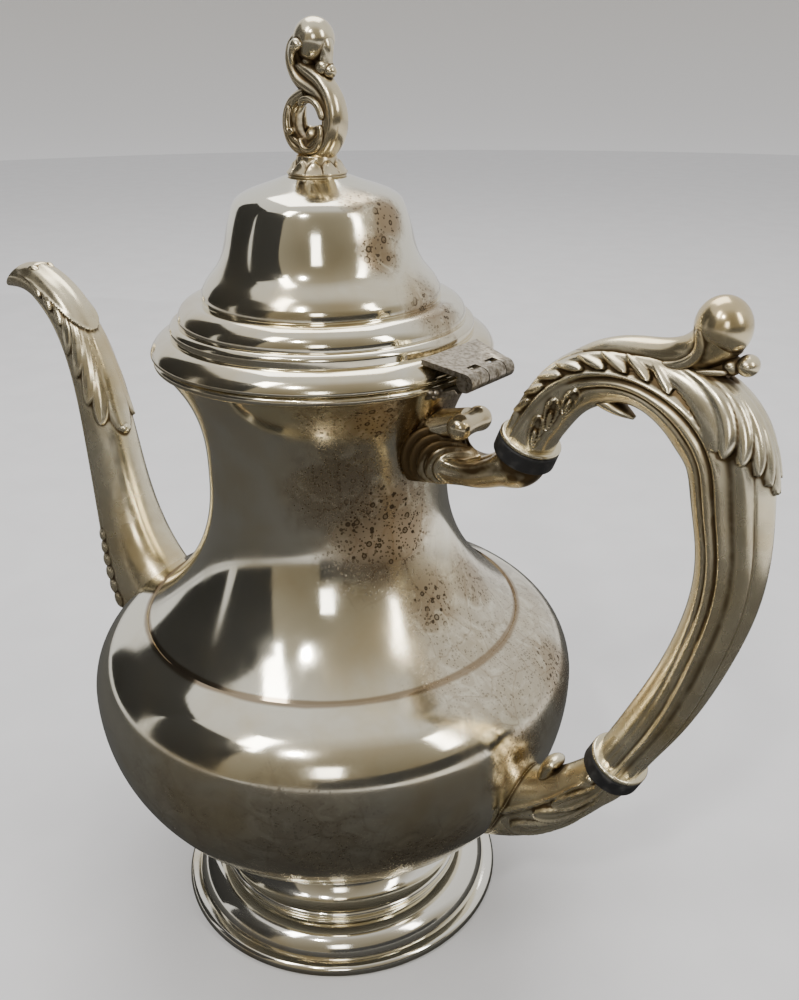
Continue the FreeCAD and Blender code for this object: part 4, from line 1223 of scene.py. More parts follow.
@dataclass
class Handle:
    """The cast scroll handle, its collars and its thumb scroll."""

    upper_ring: Point = (69.0, 174.0)
    upper_slope: float = 68.0
    lower_ring: Point = (101.2, 90.0)
    lower_slope: float = 64.0
    ring_r: float = 8.2
    ring_thick: float = 4.8
    collar_thick: float = 1.4
    end_r: float = 6.7
    crest: int = 3
    line: Line = (
        (1.126, 9.0, 7.0, 6.4),
        (1.214, 17.5, 7.2, 6.6),
        (1.277, 28.4, 7.2, 6.6),
        (1.293, 39.0, 7.2, 6.6),
        (1.269, 46.9, 8.6, 6.8),
        (1.208, 53.6, 10.4, 7.0),
        (1.125, 55.9, 10.1, 7.0),
        (1.006, 54.4, 9.6, 6.9),
        (0.869, 51.6, 8.8, 6.7),
        (0.720, 46.6, 8.1, 6.5),
        (0.560, 38.6, 7.6, 6.4),
        (0.399, 28.9, 7.4, 6.4),
        (0.232, 17.3, 7.2, 6.4),
    )
    thumb: Rows = (
        (-20.0, -3.0, 3.4), (-14.0, 1.2, 3.6), (-8.0, 4.0, 3.8), (-2.0, 5.2, 4.0), (6.0, 5.9, 4.1),
        (11.4, 7.4, 4.4), (15.2, 9.8, 5.2), (17.4, 12.6, 6.0))
    curl: Rows = ((2.0, 3.2, 3.4), (12.0, 4.2, 2.8), (20.0, 5.6, 2.2))
    balls: Rows = (  # knob and beads: along, above, radius, shares of width and height
        (17.8, 14.3, 6.25, 1.0, 1.1), (20.8, 6.3, 2.2, 1.3, 1.0), (24.2, 6.9, 2.4, 1.3, 1.0))
    comma: Line = (
        (-4.0, -3.2, 5.0, 0.8), (2.4, -3.6, 4.6, 1.0), (8.0, -3.8, 4.8, 1.2), (12.4, -4.1, 6.6, 1.3),
        (14.8, -4.4, 9.4, 1.4), (15.2, -4.4, 12.2, 1.6), (14.2, -3.9, 14.6, 1.9))
    rail: Line = (
        (-6.0, -4.8, 2.4, 0.7), (2.0, -4.6, 2.6, 0.8), (10.0, -3.9, 3.4, 0.8), (17.0, -3.2, 4.8, 0.9),
        (21.0, -2.8, 5.4, 0.8))
    arch_leaf: Line = (
        (-11.0, -6.0, 2.2, 3.6), (-7.0, -7.8, 1.9, 3.4), (-3.5, -9.2, 1.3, 2.4), (-0.8, -10.2, 0.5, 0.9))

    def point(self, share: float, bow: float) -> Point:
        """Place a point of the handle's plane from the line between the two rings."""
        x, z = share_point(self.lower_ring, self.upper_ring, share, share)
        return x + bow, z

    def end(self, ring: Point, slope: float, beyond: float) -> Station:
        """Give a station on a ring's axis, beyond the collar by a distance."""
        reach = self.ring_thick / 2 + self.collar_thick + beyond
        return *on_axis(ring, slope, reach), self.end_r, self.end_r

    def stations(self) -> list[Station]:
        """Give the grip's ovals from the upper ring to the lower one.

        Returns:
            The stations, with both ends.
        """
        lead = 2.0
        rows = [self.end(self.upper_ring, self.upper_slope, beyond) for beyond in (0, lead)]
        rows += [(*self.point(share, bow), depth, width) for share, bow, depth, width in self.line]
        return rows + [self.end(self.lower_ring, self.lower_slope, beyond) for beyond in (lead, 0)]

    def collar(self, name: str, ring: Point, slope: float) -> Piece:
        """Make a bead ring between an insulator and the handle's end.

        Args:
            name: Name of the piece.
            ring: The ring's centre.
            slope: Degrees of its axis above +X.

        Returns:
            The bead ring.
        """
        half = self.collar_thick / 2
        hole_r = 2.0
        low, high = (self.ring_r - half, -half), (self.ring_r - half, half)
        outline = [(hole_r, -half), low] + arc(low, (self.ring_r, 0), high, 12) + [(hole_r, half)]
        x, z = on_axis(ring, slope, (self.ring_thick + self.collar_thick) / 2)
        return Bench.place(Bench.spun(name, outline, steps=96), (x, 0, z), 90 - slope)

    def build(self, cast: Material) -> None:
        """Make and seat the handle and its collars.

        Args:
            cast: The handle's material.
        """
        crest_x, crest_z = self.point(*self.line[self.crest][:2])

        def on_crest(rows: Rows) -> list[tuple[float, ...]]:
            """Place rows that are given from the crest."""
            return [(crest_x + along, crest_z + above, *size) for along, above, *size in rows]

        parts = [HandleCasting(self.stations(), girth=7.4).piece("handle_cast", 520, 144)]
        parts.append(strand("handle_thumb", on_crest(self.thumb)))
        parts.append(strand("handle_curl", on_crest(self.curl)))
        parts.append(Casting(on_crest(self.arch_leaf)).piece("handle_leaf", 48, 32))
        for x, z, *size in on_crest(self.balls):
            parts.append(Bench.ball("handle_ball", (x, 0, z), *size))
        for line in (self.comma, self.rail):
            parts += vine("handle_vine", [(crest_x + x, y, crest_z + z, radius) for x, y, z, radius in line])
        grip = Bench.join("handle_cast", parts)
        seat(Bench.dirt_and_painted_shade(grip), Body.POT, Slot.CAST, cast, "handle")
        upper = self.collar("upper_collar_bead", self.upper_ring, self.upper_slope)
        seat(upper, Body.POT, Slot.CAST, cast, "upper_handle_collar")
        lower = self.collar("lower_collar_bead", self.lower_ring, self.lower_slope)
        seat(lower, Body.POT, Slot.CAST, cast, "lower_handle_collar")


class SocketCasting(Casting):
    """An arm between the body and an insulator, with leaf ribs at its root."""

    end_gap: Point = (9.0, 4.0)  # distances from the seat over which the carving fades
    rib_step = 2.5
    rib_height = 1.1
    rib_lean = (90.0, 60.0, 4.0)  # angle at which a rib lies nearest, and its lag at an angle from there
    rib_rise: Point = (20.0, 50.0)
    rib_fall: Point = (-1.0, 1.0)
    channel_rise: Point = (-1.0, 2.0)
    gutter_depth = 1.7
    gutter_edge: Point = (116.0, 146.0)
    gutter_lips: Sequence[Ridge] = ((110.0, 0.8, 8.0), (80.0, 0.3, 6.0))
    ridge_lines: Sequence[Ridge] = ((0.0, 0.9, 4.5), (-12.0, -0.6, 7.0))
    ridge_places = (14.0, 21.0, 31.0, 41.0)
    ridge_angles = (92.0, 98.0, 106.0, 109.0)
    ridge_ball = (50.5, 108.0, 1.4, 1.5)
    solder_dark = 0.8
    solder_reach: Point = (0.2, 1.6)  # distances from the body over which the solder line fades

    def __init__(self, stations: Line, body: PotBody, lobes: Sequence[Lobe],
                 ribs: float) -> None:
        """Keep the arm's line and its carving.

        Args:
            stations: The arm's ovals.
            body: The pot's body, whose skin the arm meets.
            lobes: Leaf lobes on each flank.
            ribs: How far the ribs at the root reach along the arm, or 0.
        """
        super().__init__(stations, girth=7.5)
        self.body = body
        self.leaf_lobes = lobes
        self.ribs = ribs

    def carve(self, along: Grid, around: Grid) -> Grid:
        """Give the ribs round the root and the leaf lobes.

        Args:
            along: Millimetres along the casting.
            around: Degrees from the inner side.

        Returns:
            The relief in millimetres.
        """
        clear = 1 - smooth_step(self.length - along, *self.end_gap)
        height = np.zeros_like(along)
        if self.leaf_lobes:
            from_ridge = around - np.interp(along, self.ridge_places, self.ridge_angles)
            ball = studs((self.ridge_ball,), along, around, self.girth)
            ridge = np.maximum(clear * ridges(from_ridge, self.ridge_lines), ball)
            height = overlaid(raised(self.leaf_lobes, along, around, self.girth), ridge)
        if self.ribs:
            nearest, spread, lag = self.rib_lean
            slant = along - lag * ((around - nearest) / spread) ** 2
            held = 1 - smooth_step(slant - self.ribs, *self.rib_fall)
            wave = np.abs(np.sin(slant * math.pi / self.rib_step))
            height = held * self.rib_height * wave * smooth_step(around, *self.rib_rise)
            channel = smooth_step(slant - self.ribs, *self.channel_rise)
            gutter = ridges(around, self.gutter_lips)
            gutter -= self.gutter_depth * smooth_step(around, *self.gutter_edge)
            height = height + channel * clear * gutter
        return height

    def stain(self, places: Grid, along: Grid) -> Grid:
        """Give the dark solder line where the arm meets the body."""
        clear = np.hypot(places[..., 0], places[..., 1]) - self.body.skin_r(places[..., 2])
        return self.solder_dark * (1 - smooth_step(clear, *self.solder_reach))


@dataclass
class Sockets:
    """The two cast sockets that carry the handle's rings."""

    body: PotBody
    handle: Handle
    upper_reach: float = 33.4
    lower_reach: float = 25.4
    upper_line: Line = (
        (-0.168, 6.0, 12.0, 8.5), (0.132, 7.6, 9.4, 8.0), (0.386, 9.4, 5.6, 6.4), (0.611, 8.9, 5.1, 5.8),
        (0.82, 6.0, 5.9, 6.0))
    web_line: Line = (
        (-0.078, 3.0, 6.0, 6.2), (0.192, -0.2, 4.6, 5.2), (0.467, -4.2, 3.0, 3.8))
    lower_line: Line = (
        (-0.685, 31.0, 13.5, 9.5), (-0.146, 26.0, 11.6, 9.0), (0.192, 21.5, 9.4, 8.4),
        (0.504, 15.6, 7.8, 7.4), (0.754, 9.0, 6.9, 6.8))
    root_ribs: float = 16.0
    roll: Sequence[Point] = (  # distance from the middle of the rolled scroll, and its radius there
        (7.8, 0.1), (7.5, 1.5), (6.5, 2.8), (4.8, 3.45), (2.4, 3.15), (0.0, 3.0))
    roll_drop: float = 1.2
    tab: Line = (
        (0.22, 13.4, 3.0, 4.2), (0.24, 10.4, 2.7, 4.1), (0.28, 8.4, 2.5, 3.9), (0.335, 7.7, 1.9, 3.3),
        (0.37, 8.2, 0.5, 1.6))
    leaves: Sequence[Lobe] = (
        Lobe((54.0, 84.0), (33.0, 92.0), 3.3, 2.1, -0.8, 0.0, 1.3),
        Lobe((47.0, 60.0), (25.5, 85.0), 3.1, 2.2, -0.8, 0.0, 1.3),
        Lobe((39.0, 40.0), (15.5, 66.0), 3.6, 2.2, -0.8, 0.0, 1.2),
    )

    def placed(self, ring: Point, reach: float, line: Line) -> list[Station]:
        """Place stations that are shares of a ring's reach and drops below it."""
        return [(ring[0] - reach + reach * share, ring[1] - drop, depth, width)
                for share, drop, depth, width in line]

    def arm(self, ring: Point, slope: float, reach: float, line: Line) -> list[Station]:
        """Give an arm's ovals up to its seat under the ring.

        Args:
            ring: The ring's centre.
            slope: Degrees of its axis above +X.
            reach: Distance from the ring that a share of 1 is.
            line: Shares, drops, half depths and half widths.

        Returns:
            The arm's stations.
        """
        lead = 1.5
        half, end_r = self.handle.ring_thick / 2, self.handle.end_r
        seats = [(*on_axis(ring, slope, -back), end_r, end_r) for back in (half + lead, half)]
        return self.placed(ring, reach, line) + seats

    def rolled_scroll(self, x: float, z: float) -> Piece:
        """Make the scroll that is rolled up across the upper arm, thickest towards its two ends.

        Args:
            x: Where its axis lies.
            z: How high its axis lies.

        Returns:
            The scroll.
        """
        half = [(-y, radius) for y, radius in self.roll]
        rows = np.array(half + [(y, radius) for y, radius in self.roll[-2::-1]])
        knots = distances(rows)

        def shape(share_along: Grid, share_round: Grid) -> tuple[Grid, Grid]:
            """Turn the scroll's outline about its axis.

            Args:
                share_along: Share of the length at each point.
                share_round: Share of the turn at each point.

            Returns:
                The places, and the patina and painted shade, which are none here.
            """
            row = cubic(knots, rows, share_along * knots[-1])
            turn = share_round * math.tau
            y, radius = row[..., 0], np.maximum(row[..., 1], self.roll[0][1])
            places = np.stack([x + radius * np.cos(turn), y, z + radius * np.sin(turn)], axis=-1)
            return places, np.zeros_like(y)

        return Bench.rolled("upper_roll", 60, 48, shape)

    def build(self, aged: Material, cast: Material) -> None:
        """Make and seat the upper socket in aged plate and the lower one in brighter plate.

        Args:
            aged: Material of the upper socket.
            cast: Material of the lower socket.
        """
        handle = self.handle
        upper = self.arm(handle.upper_ring, handle.upper_slope, self.upper_reach, self.upper_line)
        web = self.placed(handle.upper_ring, self.upper_reach, self.web_line)
        parts = [SocketCasting(upper, self.body, (), self.root_ribs).piece("upper_arm", 220, 128)]
        parts.append(SocketCasting(web, self.body, (), 0).piece("upper_web", 50, 64))
        parts = [Bench.close(Bench.cut(part, self.body.core()), CARVED_ANGLE) for part in parts]
        x, z = web[-1][:2]
        parts.append(self.rolled_scroll(x, z - self.roll_drop))
        arm = Bench.join("upper_socket_cast", parts)
        seat(Bench.dirt_and_painted_shade(arm), Body.POT, Slot.CAST, aged, "upper_socket")
        lower = self.arm(handle.lower_ring, handle.lower_slope, self.lower_reach, self.lower_line)
        arm = SocketCasting(lower, self.body, self.leaves, 0).piece("lower_arm", 240, 144)
        arm = Bench.close(Bench.cut(arm, self.body.core()), CARVED_ANGLE)
        tab = Casting(self.placed(handle.lower_ring, self.lower_reach, self.tab)).piece("lower_tab", 40, 40)
        arm = Bench.join("lower_socket_cast", [arm, tab])
        seat(Bench.dirt_and_painted_shade(arm), Body.POT, Slot.CAST, cast, "lower_socket")


class FinialRibbon(Casting):
    """A finial strand with a leaf dished into each flank."""

    blade_place = 24.0
    blade_reach = 9.0
    start_rise: Point = (2.0, 6.0)
    end_fall: Point = (5.0, 0.0)  # distances from the end
    dish = (92.0, 24.0)  # angle and width
    dish_depths = (0.18, 0.36)  # shares of the girth: everywhere, and more in the upper leaf
    groove: Ridge = (143.0, 0.14, 8.0)

    def carve(self, along: Grid, around: Grid) -> Grid:
        """Give the dish on each flank, which is deepest in the upper leaf, and a groove beside it.

        Args:
            along: Millimetres along the casting.
            around: Degrees from the inner side.

        Returns:
            The relief in millimetres.
        """
        held = smooth_step(along, *self.start_rise) * (1 - smooth_step(self.length - along, *self.end_fall))
        shallow, more = self.dish_depths
        deep = shallow + more * bump(along - self.blade_place, self.blade_reach)
        dish = deep * bump(around - self.dish[0], self.dish[1])
        return -self.girth * held * (dish + ridges(around, (self.groove,)))


@dataclass
class Finial:
    """The cast openwork finial and its petalled collar."""

    base_z: float = 241.4
    collar_r: float = 7.9
    collar_top_r: float = 5.4
    collar_height: float = 5.2
    collar_lip: float = 0.7
    hole_r: float = 1.65
    petals: int = 10
    petal_height: float = 0.7
    petal_rise: Point = (0.1, 0.2)  # shares of the collar's height, here and below
    petal_tops: Point = (0.25, 0.80)  # where a petal's edge lies between two petals and in its middle
    petal_edge: Point = (-0.05, 0.12)
    ribbon: Line = (
        (1.2, 1.0, 4.0, 4.2), (6.4, 6.2, 3.2, 4.0), (6.4, 12.2, 3.3, 3.8), (2.6, 16.8, 3.9, 3.6),
        (-2.6, 19.6, 4.1, 3.5), (-5.6, 23.2, 3.3, 3.3), (-5.2, 26.8, 2.5, 3.1), (-2.6, 28.8, 2.2, 3.0))
    scroll: Line = (
        (-1.6, 15.4, 1.9, 3.0), (-6.2, 13.0, 2.1, 3.2), (-8.2, 8.0, 2.3, 3.4), (-6.2, 3.2, 2.5, 3.6),
        (0.0, 1.4, 2.6, 3.8))
    hook: Rows = ((2.6, 28.6, 3.2), (4.4, 25.8, 2.2), (4.5, 23.6, 1.8), (4.0, 21.8, 2.2))
    balls: Line = (  # x, height, radius and share of its thickness along Y
        (0.6, 28.2, 5.4, 1.0), (4.0, 21.6, 2.3, 1.1), (5.8, 20.6, 1.7, 1.0), (0.6, 5.0, 2.5, 1.5),
        (-3.4, 1.6, 1.5, 1.6), (-0.6, 23.4, 1.9, 1.5))
    vines: Sequence[Line] = (
        ((5.6, -3.2, 9.0, 1.0), (4.0, -3.4, 12.6, 1.0), (0.6, -3.3, 14.0, 0.9), (-1.8, -3.1, 13.2, 0.9),
         (-1.8, -3.0, 11.8, 1.0)),
        ((4.6, -3.2, 8.0, 0.9), (4.8, -3.5, 4.6, 1.0), (2.4, -3.6, 1.6, 1.0), (-1.2, -3.5, 1.8, 0.9),
         (-2.8, -3.3, 4.4, 0.8)),
        ((-4.2, -3.2, 22.0, 0.7), (-3.5, -4.1, 24.4, 1.0), (-2.2, -4.8, 26.2, 1.3), (-0.6, -5.2, 26.9, 1.6),
         (0.4, -5.1, 25.9, 1.7)),
        ((-6.4, -2.9, 12.2, 0.7), (-7.2, -3.3, 8.6, 0.8), (-6.2, -3.5, 5.8, 0.9), (-4.6, -3.5, 6.6, 0.9)),
    )

    def lifted(self, rows: Rows) -> list[tuple[float, ...]]:
        """Place rows that are given from the finial's base."""
        return [(x, self.base_z + z, *size) for x, z, *size in rows]

    def collar(self) -> Piece:
        """Make the flared collar, with round petals pressed into its skirt.

        Returns:
            The collar.
        """
        low_z = self.base_z - self.collar_height
        lip, top = (self.collar_r, low_z + self.collar_lip), (self.collar_top_r, self.base_z)
        line = [(self.hole_r, low_z), (self.collar_r, low_z), lip]
        line += arc(lip, share_point(lip, top, 0.66, 0.45), top, 24) + [(self.hole_r, self.base_z)]
        rows = np.array(line)
        knots = distances(rows)
        between, middle = self.petal_tops
        skirt_r = self.collar_top_r - 0.1

        def shape(share_along: Grid, share_round: Grid) -> tuple[Grid, Grid]:
            """Turn the outline about the axis and press the petals in.

            Args:
                share_along: Share of the length at each point.
                share_round: Share of the turn at each point.

            Returns:
                The places and the patina, with painted shade between the petals.
            """
            along = share_along * knots[-1]
            r = np.interp(along, knots, rows[:, 0])
            z = np.interp(along, knots, rows[:, 1])
            turn = share_round * math.tau
            up = (z - low_z) / self.collar_height
            wave = np.abs(np.sin(turn * self.petals / 2))
            edge = between + (middle - between) * np.sqrt(wave)
            on_skirt = (r > skirt_r) * smooth_step(up, *self.petal_rise)
            petal = self.petal_height * on_skirt * smooth_step(edge - up, *self.petal_edge)
            r = r + petal
            # the hollows between the petals are darkened as tarnish and painted shade
            return np.stack([r * np.cos(turn), r * np.sin(turn), z], -1), np.clip(2 * recess(petal), 0, 1)

        return Bench.rolled("finial_collar_cast", 96, 160, shape)

    def build(self, cast: Material) -> None:
        """Make and seat the finial and its collar.

        Args:
            cast: The finial's material.
        """
        seat(self.collar(), Body.LID, Slot.CAST, cast, "finial_collar")
        parts = [FinialRibbon(self.lifted(self.ribbon), girth=3.2).piece("finial_cast", 140, 56)]
        parts.append(FinialRibbon(self.lifted(self.scroll), girth=2.6).piece("finial_scroll", 100, 48))
        parts.append(strand("finial_hook", self.lifted(self.hook)))
        for x, z, radius, squash in self.lifted(self.balls):
            parts.append(Bench.ball("finial_ball", (x, 0, z), radius, squash))
        for line in self.vines:
            parts += vine("finial_vine", [(x, y, self.base_z + z, radius) for x, y, z, radius in line])
        swirl = Bench.join("finial_cast", parts)
        seat(Bench.dirt_and_painted_shade(swirl), Body.LID, Slot.CAST, cast, "finial")


class Shader:
    """Builds one node material round a single surface."""

    def __init__(self, name: str) -> None:
        """Start a material with its surface and its Object coordinates.

        Args:
            name: Name of the material.
        """
        self.material = bpy.data.materials.new(name)
        self.material.use_nodes = True
        self.tree = self.material.node_tree
        self.surface = next(node for node in self.tree.nodes if node.type == "BSDF_PRINCIPLED")
        self.place = self.add("ShaderNodeTexCoord").outputs["Object"]

    def feed(self, socket: Socket, value: object) -> None:
        """Link a socket to another, or set its value.

        Args:
            socket: An input.
            value: An output to link, a colour or a number.
        """
        if isinstance(value, Socket):
            self.tree.links.new(value, socket)
        elif isinstance(value, tuple) and socket.type == "RGBA":
            socket.default_value = (*value, 1.0)
        else:
            socket.default_value = value

    def feed_all(self, node: bpy.types.Node, **inputs: object) -> None:
        """Feed a node's inputs by their names, with _ for a space."""
        for name, value in inputs.items():
            self.feed(node.inputs[name.replace("_", " ")], value)

    def add(self, kind: str, settings: dict | None = None, **inputs: object) -> bpy.types.Node:
        """Add a node.

        Args:
            kind: The node's type.
            settings: Its own properties.
            inputs: Its input sockets by name, with _ for a space.

        Returns:
            The node.
        """
        node = self.tree.nodes.new(kind)
        for name, value in (settings or {}).items():
            setattr(node, name, value)
        self.feed_all(node, **inputs)
        return node

    def noise(self, scale: float, detail: float = 3.0, stretch: Sequence[float] | None = None,
              turn: Sequence[float] = (0, 0, 0), warp: float = 0.0) -> Socket:
        """Give a noise from 0 to 1, per metre, drawn out where it is stretched.

        Args:
            scale: Features to a metre.
            detail: Finer layers.
            stretch: Scale along each axis, if not even.
            turn: Turn of the stretched axes.
            warp: How far the noise is bent by itself.

        Returns:
            The noise.
        """
        place = self.place
        if stretch:
            place = self.add("ShaderNodeMapping", Vector=place, Rotation=turn, Scale=stretch).outputs[0]
        node = self.add("ShaderNodeTexNoise", Vector=place, Scale=scale, Detail=detail, Distortion=warp)
        return node.outputs[0]

    def span(self, value: Socket, low: float, high: float, start: float = 0.0, end: float = 1.0) -> Socket:
        """Map a value softly from low to high onto start to end.

        Args:
            value: The number to map.
            low: Where the rise starts.
            high: Where it ends.
            start: Result at low.
            end: Result at high.

        Returns:
            The mapped number.
        """
        node = self.add("ShaderNodeMapRange", {"interpolation_type": "SMOOTHSTEP"}, Value=value)
        self.feed_all(node, From_Min=low, From_Max=high, To_Min=start, To_Max=end)
        return node.outputs[0]

    def math(self, operation: str, first: object, second: object = 0.0) -> Socket:
        """Combine two numbers.

        Args:
            operation: The node's operation.
            first: First number.
            second: Second number.

        Returns:
            The result.
        """
        node = self.add("ShaderNodeMath", {"operation": operation})
        self.feed(node.inputs[0], first)
        self.feed(node.inputs[1], second)
        return node.outputs[0]

    def mix(self, share: object, first: object, second: object) -> Socket:
        """Mix two colours.

        Args:
            share: Share of the second colour.
            first: First colour.
            second: Second colour.

        Returns:
            The mixed colour.
        """
        node = self.add("ShaderNodeMix", {"data_type": "RGBA"})
        for index, value in ((0, share), (6, first), (7, second)):
            self.feed(node.inputs[index], value)
        return node.outputs[2]

    def near(self, centre: Sequence[float], reach: float, ragged: Socket) -> Socket:
        """Give 1 about a place, fading out raggedly at a distance.

        Args:
            centre: The place in millimetres.
            reach: The distance in millimetres.
            ragged: Noise that moves the edge.

        Returns:
            The share.
        """
        spot = tuple(v * MM for v in centre)
        away = self.add("ShaderNodeVectorMath", {"operation": "DISTANCE"})
        self.feed(away.inputs[0], self.place)
        away.inputs[1].default_value = spot
        shifted = self.math("ADD", away.outputs["Value"], self.math("MULTIPLY", ragged, reach * MM))
        return self.span(shifted, reach * MM * 1.6, reach * MM * 0.8)

    def cracks(self, scale: float) -> Socket:
        """Give thin crooked lines round cells, so many to a metre.

        Args:
            scale: Cells to a metre.

        Returns:
            1 on a line and 0 beside it.
        """
        stir = self.add("ShaderNodeTexNoise", Vector=self.place, Scale=scale, Detail=4.0).outputs["Color"]
        bent = self.add("ShaderNodeVectorMath", {"operation": "MULTIPLY_ADD"})
        for socket, value in zip(bent.inputs, (stir, (0.7 / scale,) * 3, self.place)):
            self.feed(socket, value)
        settings = {"feature": "DISTANCE_TO_EDGE"}
        cells = self.add("ShaderNodeTexVoronoi", settings, Vector=bent.outputs[0], Scale=scale)
        return self.span(cells.outputs["Distance"], 0.035, 0.0)

    def relief(self, height: Socket, strength: float, depth: float) -> None:
        """Add a fine bump, in millimetres, to those already there.

        Args:
            height: The bump's height from 0 to 1.
            strength: Share of it that shows.
            depth: Millimetres of a height of 1.
        """
        node = self.add("ShaderNodeBump", Strength=strength, Distance=depth * MM, Height=height)
        before = self.surface.inputs["Normal"].links
        if before:
            self.feed(node.inputs["Normal"], before[0].from_socket)
        self.feed(self.surface.inputs["Normal"], node.outputs[0])


@dataclass(frozen=True)
class Stain:
    """A place where the plate has gone brown."""

    centre: tuple[float, float, float]
    reach: float
    depth: float = 1.0  # how brown it is, from 0 to 1


@dataclass(frozen=True)
class PlateFinish:
    """Silver plate on spun sheet, with a warm film, polishing scratches and pitted tarnish."""

    name: str
    silver: Colour = (0.91, 0.87, 0.72)
    film: Colour = (0.75, 0.63, 0.40)
    brown: Colour = (0.30, 0.21, 0.12)
    pit: Colour = (0.055, 0.038, 0.022)
    film_low: float = 0.42
    roughness: float = 0.085
    stains: Sequence[Stain] = ()
    seam_z: float = 0.0  # level of a soldered seam that holds dirt, or 0

    def stained(self, s: Shader, ragged: Socket) -> Socket:
        """Give how brown each place is.

        Args:
            s: The material's builder.
            ragged: Noise that breaks the stains' edges.

        Returns:
            The share of brown.
        """
        share = None
        for stain in self.stains:
            one = s.math("MULTIPLY", s.near(stain.centre, stain.reach, ragged), stain.depth)
            share = one if share is None else s.math("MAXIMUM", share, one)
        return share

    def pits(self, s: Shader, scale: float, rarity: float) -> Socket:
        """Give small ring-shaped pits.

        Args:
            s: The material's builder.
            scale: Cells per metre.
            rarity: Power by which large pits are rarer.

        Returns:
            1 on a pit's ring and less inside it.
        """
        cells = s.add("ShaderNodeTexVoronoi", Vector=s.place, Scale=scale)
        chance = s.add("ShaderNodeSeparateColor", Color=cells.outputs["Color"]).outputs[0]
        size = s.math("MULTIPLY", s.math("POWER", chance, rarity), 0.5)
        depth = s.math("SUBTRACT", size, cells.outputs["Distance"])
        inner = s.math("MULTIPLY", s.span(depth, 0.14, 0.22), 0.6)
        return s.math("SUBTRACT", s.span(depth, -0.03, 0.05), inner)

    def material(self) -> Material:
        """Build the plate's material.

        Returns:
            The material.
        """
        s = Shader(self.name)
        broad = s.noise(11, 4, warp=0.8)
        fine = s.noise(70, 6, warp=0.3)
        blend = s.math("ADD", s.math("MULTIPLY", broad, 0.7), s.math("MULTIPLY", fine, 0.3))
        filmed = s.span(blend, self.film_low, 0.66)
        colour = s.mix(s.math("MULTIPLY", filmed, 0.85), self.silver, self.film)
        rough = s.span(fine, 0.3, 0.75, self.roughness * 0.75, self.roughness * 1.5)
        rough = s.math("ADD", rough, s.math("MULTIPLY", filmed, 0.06))
        if self.stains:
            mottle = s.noise(150, 8, warp=1.2)
            share = self.stained(s, broad)
            cover = s.math("ADD", mottle, s.math("MULTIPLY", share, 0.25))
            wash = s.math("MULTIPLY", share, s.span(cover, 0.40, 0.70))
            colour = s.mix(s.math("MULTIPLY", share, 0.55), colour, self.film)
            colour = s.mix(s.math("MULTIPLY", wash, 0.85), colour, self.brown)
            rings = s.math("MULTIPLY", self.pits(s, 480.0, 1.6), s.span(share, 0.55, 0.85))
            specks = s.math("MULTIPLY", self.pits(s, 1200.0, 1.2), s.math("MULTIPLY", wash, 1.2))
            cracks = s.math("MULTIPLY", s.cracks(75.0), s.math("MULTIPLY", share, 0.6))
            colour = s.mix(cracks, colour, self.brown)
            dark = s.math("MINIMUM", s.math("MAXIMUM", rings, specks), 1.0)
            colour = s.mix(s.math("MULTIPLY", dark, 0.92), colour, self.pit)
            rough = s.math("ADD", rough, s.math("MULTIPLY", share, 0.2))
            rough = s.math("ADD", rough, s.math("MULTIPLY", dark, 0.25))
            s.relief(s.math("MULTIPLY", dark, -1.0), 0.35, 0.06)
        if self.seam_z:
            level = s.add("ShaderNodeSeparateXYZ", Vector=s.place).outputs["Z"]
            away = s.math("ABSOLUTE", s.math("SUBTRACT", level, self.seam_z * MM))
            line = s.span(s.math("ADD", away, s.math("MULTIPLY", fine, 0.6 * MM)), 1.0 * MM, 0.5 * MM)
            colour = s.mix(s.math("MULTIPLY", line, 0.8), colour, self.brown)
        s.feed_all(s.surface, Base_Color=colour, Roughness=rough, Metallic=1.0)
        s.relief(s.noise(26, 2), 0.25, 0.12)
        along = s.noise(1.0, 2, (900, 60, 60), (0.5, 0.2, 0.9))
        across = s.noise(1.0, 2, (60, 900, 90), (0.2, 0.7, 0.3))
        s.relief(s.math("ADD", along, across), 0.2, 0.02)
        return s.material


@dataclass(frozen=True)
class CastFinish:
    """Yellowed plate on chased castings, bright on what hands rub, and brown in the recesses from tarnish and
    painted shade.
    """

    name: str
    silver: Colour = (0.87, 0.80, 0.60)
    film: Colour = (0.67, 0.54, 0.30)
    # colour of the tarnish and the painted shade in recesses and enclosed places
    dirt_and_shade_colour: Colour = (0.13, 0.09, 0.045)
    dull: Colour = (0.46, 0.37, 0.22)
    roughness: float = 0.23

    def material(self) -> Material:
        """Build the castings' material.

        Returns:
            The material.
        """
        s = Shader(self.name)
        broad = s.noise(24, 4, warp=0.5)
        fine = s.noise(160, 5)
        colour = s.mix(s.span(broad, 0.35, 0.7), self.silver, self.film)
        blotch = s.math("MULTIPLY", s.span(s.noise(70, 3, warp=0.5), 0.45, 0.8), 0.4)
        colour = s.mix(blotch, colour, self.dull)
        # the vertex attribute holds tarnish in the hollows and shade painted into recesses and enclosed
        # places
        patina_and_shade = s.add("ShaderNodeAttribute", {"attribute_name": PATINA_AND_SHADE}).outputs["Fac"]
        dirt_and_shade = s.math("MULTIPLY", patina_and_shade, s.span(fine, 0.25, 0.6, 0.55, 1.0))
        colour = s.mix(s.span(dirt_and_shade, 0.05, 0.8), colour, self.dirt_and_shade_colour)
        rough = s.math("ADD", s.span(fine, 0.3, 0.75, self.roughness * 0.8, self.roughness * 1.4),
                       s.math("MULTIPLY", dirt_and_shade, 0.3))
        s.feed_all(s.surface, Base_Color=colour, Roughness=rough, Metallic=0.96)
        s.relief(s.noise(90, 2), 0.2, 0.06)
        s.relief(s.noise(700, 2), 0.08, 0.02)
        return s.material


